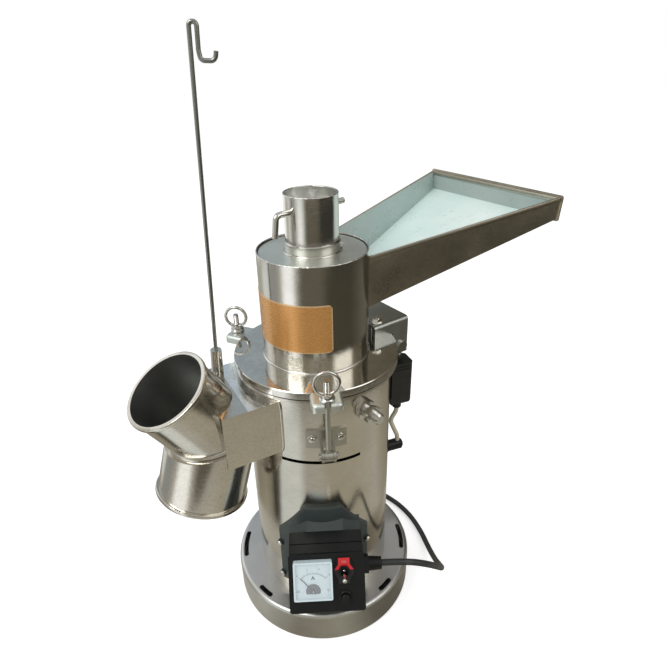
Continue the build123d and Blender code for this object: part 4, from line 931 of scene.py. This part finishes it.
def make_tie():
    """Hook-and-loop tie, a rounded square band that stands on z = 0."""
    mesh = bmesh.new()
    bmesh.ops.create_grid(mesh, x_segments=1, y_segments=1, size=TIE_HALF * MM)
    bmesh.ops.bevel(mesh, geom=mesh.verts[:], offset=TIE_CORNER * MM, segments=6,
                    affect="VERTICES", profile=0.5, material=-1)
    band = bmesh.ops.extrude_face_region(mesh, geom=mesh.faces[:])
    tops = [item for item in band["geom"] if isinstance(item, bmesh.types.BMVert)]
    bmesh.ops.translate(mesh, vec=(0, 0, TIE_WIDTH * MM), verts=tops)
    flat = [face for face in mesh.faces if abs(face.normal.z) > 0.9]
    bmesh.ops.delete(mesh, geom=flat, context="FACES_ONLY")
    bmesh.ops.recalc_face_normals(mesh, faces=mesh.faces)
    bmesh.ops.solidify(mesh, geom=mesh.faces[:], thickness=TIE_THICKNESS * MM)
    return mesh


on_coil = place(*COIL_CENTRE) @ place(TIE_REACH, 0, TIE_HEIGHT, TIE_BEARING)
across_band = Matrix.Rotation(radians(90), 4, "X") @ place(0, 0, -TIE_WIDTH / 2)
piece("coil_tie", make_tie(), "base", "black_rubber", "tie_cloth", angle=60,
      matrix=on_coil @ across_band)


# Lamps, floor and what the polished steel reflects

def ramp(tree, value, stops):
    """Colour ramp of (position, colour) stops."""
    node = tree.nodes.new("ShaderNodeValToRGB")
    tree.links.new(value, node.inputs["Fac"])
    elements = node.color_ramp.elements
    while len(elements) < len(stops):
        elements.new(0.5)
    for element, (position, colour) in zip(elements, stops):
        element.position = position
        element.color = (*colour, 1)
    return node.outputs["Color"]


def card_material(name, stops):
    """Plain glow whose colour goes by the bearing, from -180 to 180 degrees."""
    material = bpy.data.materials.new(name)
    material.use_nodes = True
    tree = material.node_tree
    tree.nodes.clear()
    where = tree.nodes.new("ShaderNodeTexCoord").outputs["Object"]
    split = tree.nodes.new("ShaderNodeSeparateXYZ")
    tree.links.new(where, split.inputs["Vector"])
    bearing = tree.nodes.new("ShaderNodeMath")
    bearing.operation = "ARCTAN2"
    tree.links.new(split.outputs["Y"], bearing.inputs[0])
    tree.links.new(split.outputs["X"], bearing.inputs[1])
    share = tree.nodes.new("ShaderNodeMapRange")
    share.inputs["From Min"].default_value = -pi
    share.inputs["From Max"].default_value = pi
    tree.links.new(bearing.outputs["Value"], share.inputs["Value"])
    glow = tree.nodes.new("ShaderNodeEmission")
    glow.inputs["Strength"].default_value = GLOW
    positions = [((degree + 180) / 360, tuple(value / GLOW for value in colour))
                 for degree, colour in stops]
    tree.links.new(ramp(tree, share.outputs["Result"], positions), glow.inputs["Color"])
    output = tree.nodes.new("ShaderNodeOutputMaterial")
    tree.links.new(glow.outputs["Emission"], output.inputs["Surface"])
    return material


# The cards' glow: its strength, its colours, and where they stand by the bearing
GLOW = 1.35
WHITE = (1.30, 1.32, 1.34)
SILVER = (0.84, 0.88, 0.86)
PALE = (0.52, 0.50, 0.44)
GREY = (0.36, 0.37, 0.36)
SAND = (0.46, 0.43, 0.34)
TAN = (0.37, 0.345, 0.265)
BROWN = (0.29, 0.26, 0.20)
UMBER = (0.15, 0.135, 0.105)
SHADE = (0.078, 0.070, 0.050)
DARK = (0.045, 0.045, 0.042)
BLUE = (0.40, 0.47, 0.53)
FOOT_BEARINGS = [
    (-180, PALE), (-140, PALE), (-110, BROWN), (-80, TAN), (-55, UMBER), (-30, UMBER), (0, BROWN),
    (60, PALE), (180, PALE),
]
DRUM_BEARINGS = [
    (-180, TAN), (-170, BROWN), (-163, DARK), (-156, UMBER), (-150, SILVER), (-122, SILVER),
    (-112, PALE), (-104, PALE), (-92, PALE), (-76, SAND), (-40, SAND), (0, PALE), (20, TAN),
    (40, BROWN), (56, UMBER), (90, GREY), (120, SILVER), (140, PALE), (156, BROWN), (180, TAN),
]
CYLINDER_BEARINGS = [
    (-180, GREY), (-172, GREY), (-160, PALE), (-151, WHITE), (-133, WHITE), (-126, PALE),
    (-116, UMBER), (-76, UMBER), (-62, SHADE), (-36, SHADE), (-12, SHADE), (24, UMBER),
    (60, UMBER), (76, SHADE), (100, GREY), (140, PALE), (151, SILVER), (165, SILVER),
    (172, GREY), (180, GREY),
]
TUBE_BEARINGS = [
    (-180, PALE), (-165, GREY), (-150, SILVER), (-138, WHITE), (-124, SILVER), (-112, UMBER),
    (-64, UMBER), (-50, DARK), (22, DARK), (32, UMBER), (42, PALE), (70, PALE), (130, WHITE),
    (150, PALE), (168, SILVER), (180, PALE),
]
# Cards on the floor, each named after what mirrors it, with its two radii in millimetres
FLOOR_ZONES = (("foot", 0.0, 220.0, FOOT_BEARINGS), ("drum", 220.0, 600.0, DRUM_BEARINGS),
               ("cylinder", 600.0, 1500.0, CYLINDER_BEARINGS),
               ("tube", 1500.0, 3000.0, TUBE_BEARINGS))
WALL_BEARINGS = [
    (-180, PALE), (-150, SILVER), (-120, TAN), (-90, PALE), (-50, BROWN), (0, BROWN), (40, DARK),
    (82, UMBER), (92, GREY), (99, BLUE), (120, BLUE), (150, WHITE), (180, PALE),
]


def only_reflected(thing):
    """Leaves a card to the mirror-like surfaces: it lights and hides nothing."""
    thing.visible_camera = False
    thing.visible_diffuse = False
    thing.visible_shadow = False
    thing.visible_transmission = False
    thing.visible_volume_scatter = False


CARD_HEIGHT, WALL_RADIUS, WALL_HEIGHT = 0.6, 3000.0, 3200.0
FLOOR_SIZE, FLOOR_LIFT = 8.0, 0.5
LIGHT_ROUND, LIGHT_SEEN = 0.62, 1.0
LAMPS = (("key_lamp", (-1.3, -1.1, 2.2), 1.2, 26.0), ("fill_lamp", (1.5, -0.9, 1.5), 1.4, 9.0))
LAMP_AIM = (0, 0, 0.25)


def seen_by(tree, first, second):
    """One on rays of either of two kinds, and zero on all others."""
    path = tree.nodes.new("ShaderNodeLightPath")
    either = tree.nodes.new("ShaderNodeMath")
    either.operation = "MAXIMUM"
    tree.links.new(path.outputs[first], either.inputs[0])
    tree.links.new(path.outputs[second], either.inputs[1])
    return either.outputs["Value"]


def floor_paper():
    """Pale paper, lifted to white where it is seen."""
    paper = bpy.data.materials.new("floor_paper")
    paper.use_nodes = True
    tree = paper.node_tree
    shader = tree.nodes["Principled BSDF"]
    shader.inputs["Base Color"].default_value = (0.86, 0.86, 0.86, 1)
    shader.inputs["Roughness"].default_value = 0.9
    shader.inputs["Emission Color"].default_value = (1, 1, 1, 1)
    lift = tree.nodes.new("ShaderNodeMath")
    lift.operation = "MULTIPLY"
    lift.inputs[1].default_value = FLOOR_LIFT
    tree.links.new(seen_by(tree, "Is Camera Ray", "Is Glossy Ray"), lift.inputs[0])
    tree.links.new(lift.outputs["Value"], shader.inputs["Emission Strength"])
    return paper


def lay_floor():
    """Floor under the machine."""
    mesh = bmesh.new()
    bmesh.ops.create_grid(mesh, x_segments=1, y_segments=1, size=FLOOR_SIZE)
    ground = stand("floor", mesh, floor_paper())


def stand_cards():
    """Cards round the machine for the steel to reflect."""
    wall = turned([(WALL_RADIUS, CARD_HEIGHT), (WALL_RADIUS, WALL_HEIGHT)])
    cards = [("wall_card", wall, WALL_BEARINGS)]
    for zone, inner, outer, stops in FLOOR_ZONES:
        cards.append((f"{zone}_card", turned([(inner, CARD_HEIGHT), (outer, CARD_HEIGHT)]), stops))
    for name, mesh, stops in cards:
        card = stand(name, mesh, card_material(name, stops))
        only_reflected(card)


def set_light():
    """Even light all round, a key lamp and a fill lamp."""
    world = bpy.data.worlds.new("studio")
    scene.world = world
    world.use_nodes = True
    tree = world.node_tree
    back = tree.nodes["Background"]
    back.inputs["Color"].default_value = (1, 1, 1, 1)
    level = tree.nodes.new("ShaderNodeMapRange")
    level.inputs["To Min"].default_value = LIGHT_ROUND
    level.inputs["To Max"].default_value = LIGHT_SEEN
    tree.links.new(seen_by(tree, "Is Camera Ray", "Is Transmission Ray"), level.inputs["Value"])
    tree.links.new(level.outputs["Result"], back.inputs["Strength"])
    for name, spot, size, power in LAMPS:
        lamp = bpy.data.lights.new(name, "AREA")
        lamp.size = size
        lamp.energy = power
        light = bpy.data.objects.new(name, lamp)
        aim = (Vector(LAMP_AIM) - Vector(spot)).to_track_quat("-Z", "Y")
        light.matrix_world = Matrix.Translation(spot) @ aim.to_matrix().to_4x4()
        scene.collection.objects.link(light)


lay_floor()
stand_cards()
set_light()
scene.view_settings.view_transform = "Standard"
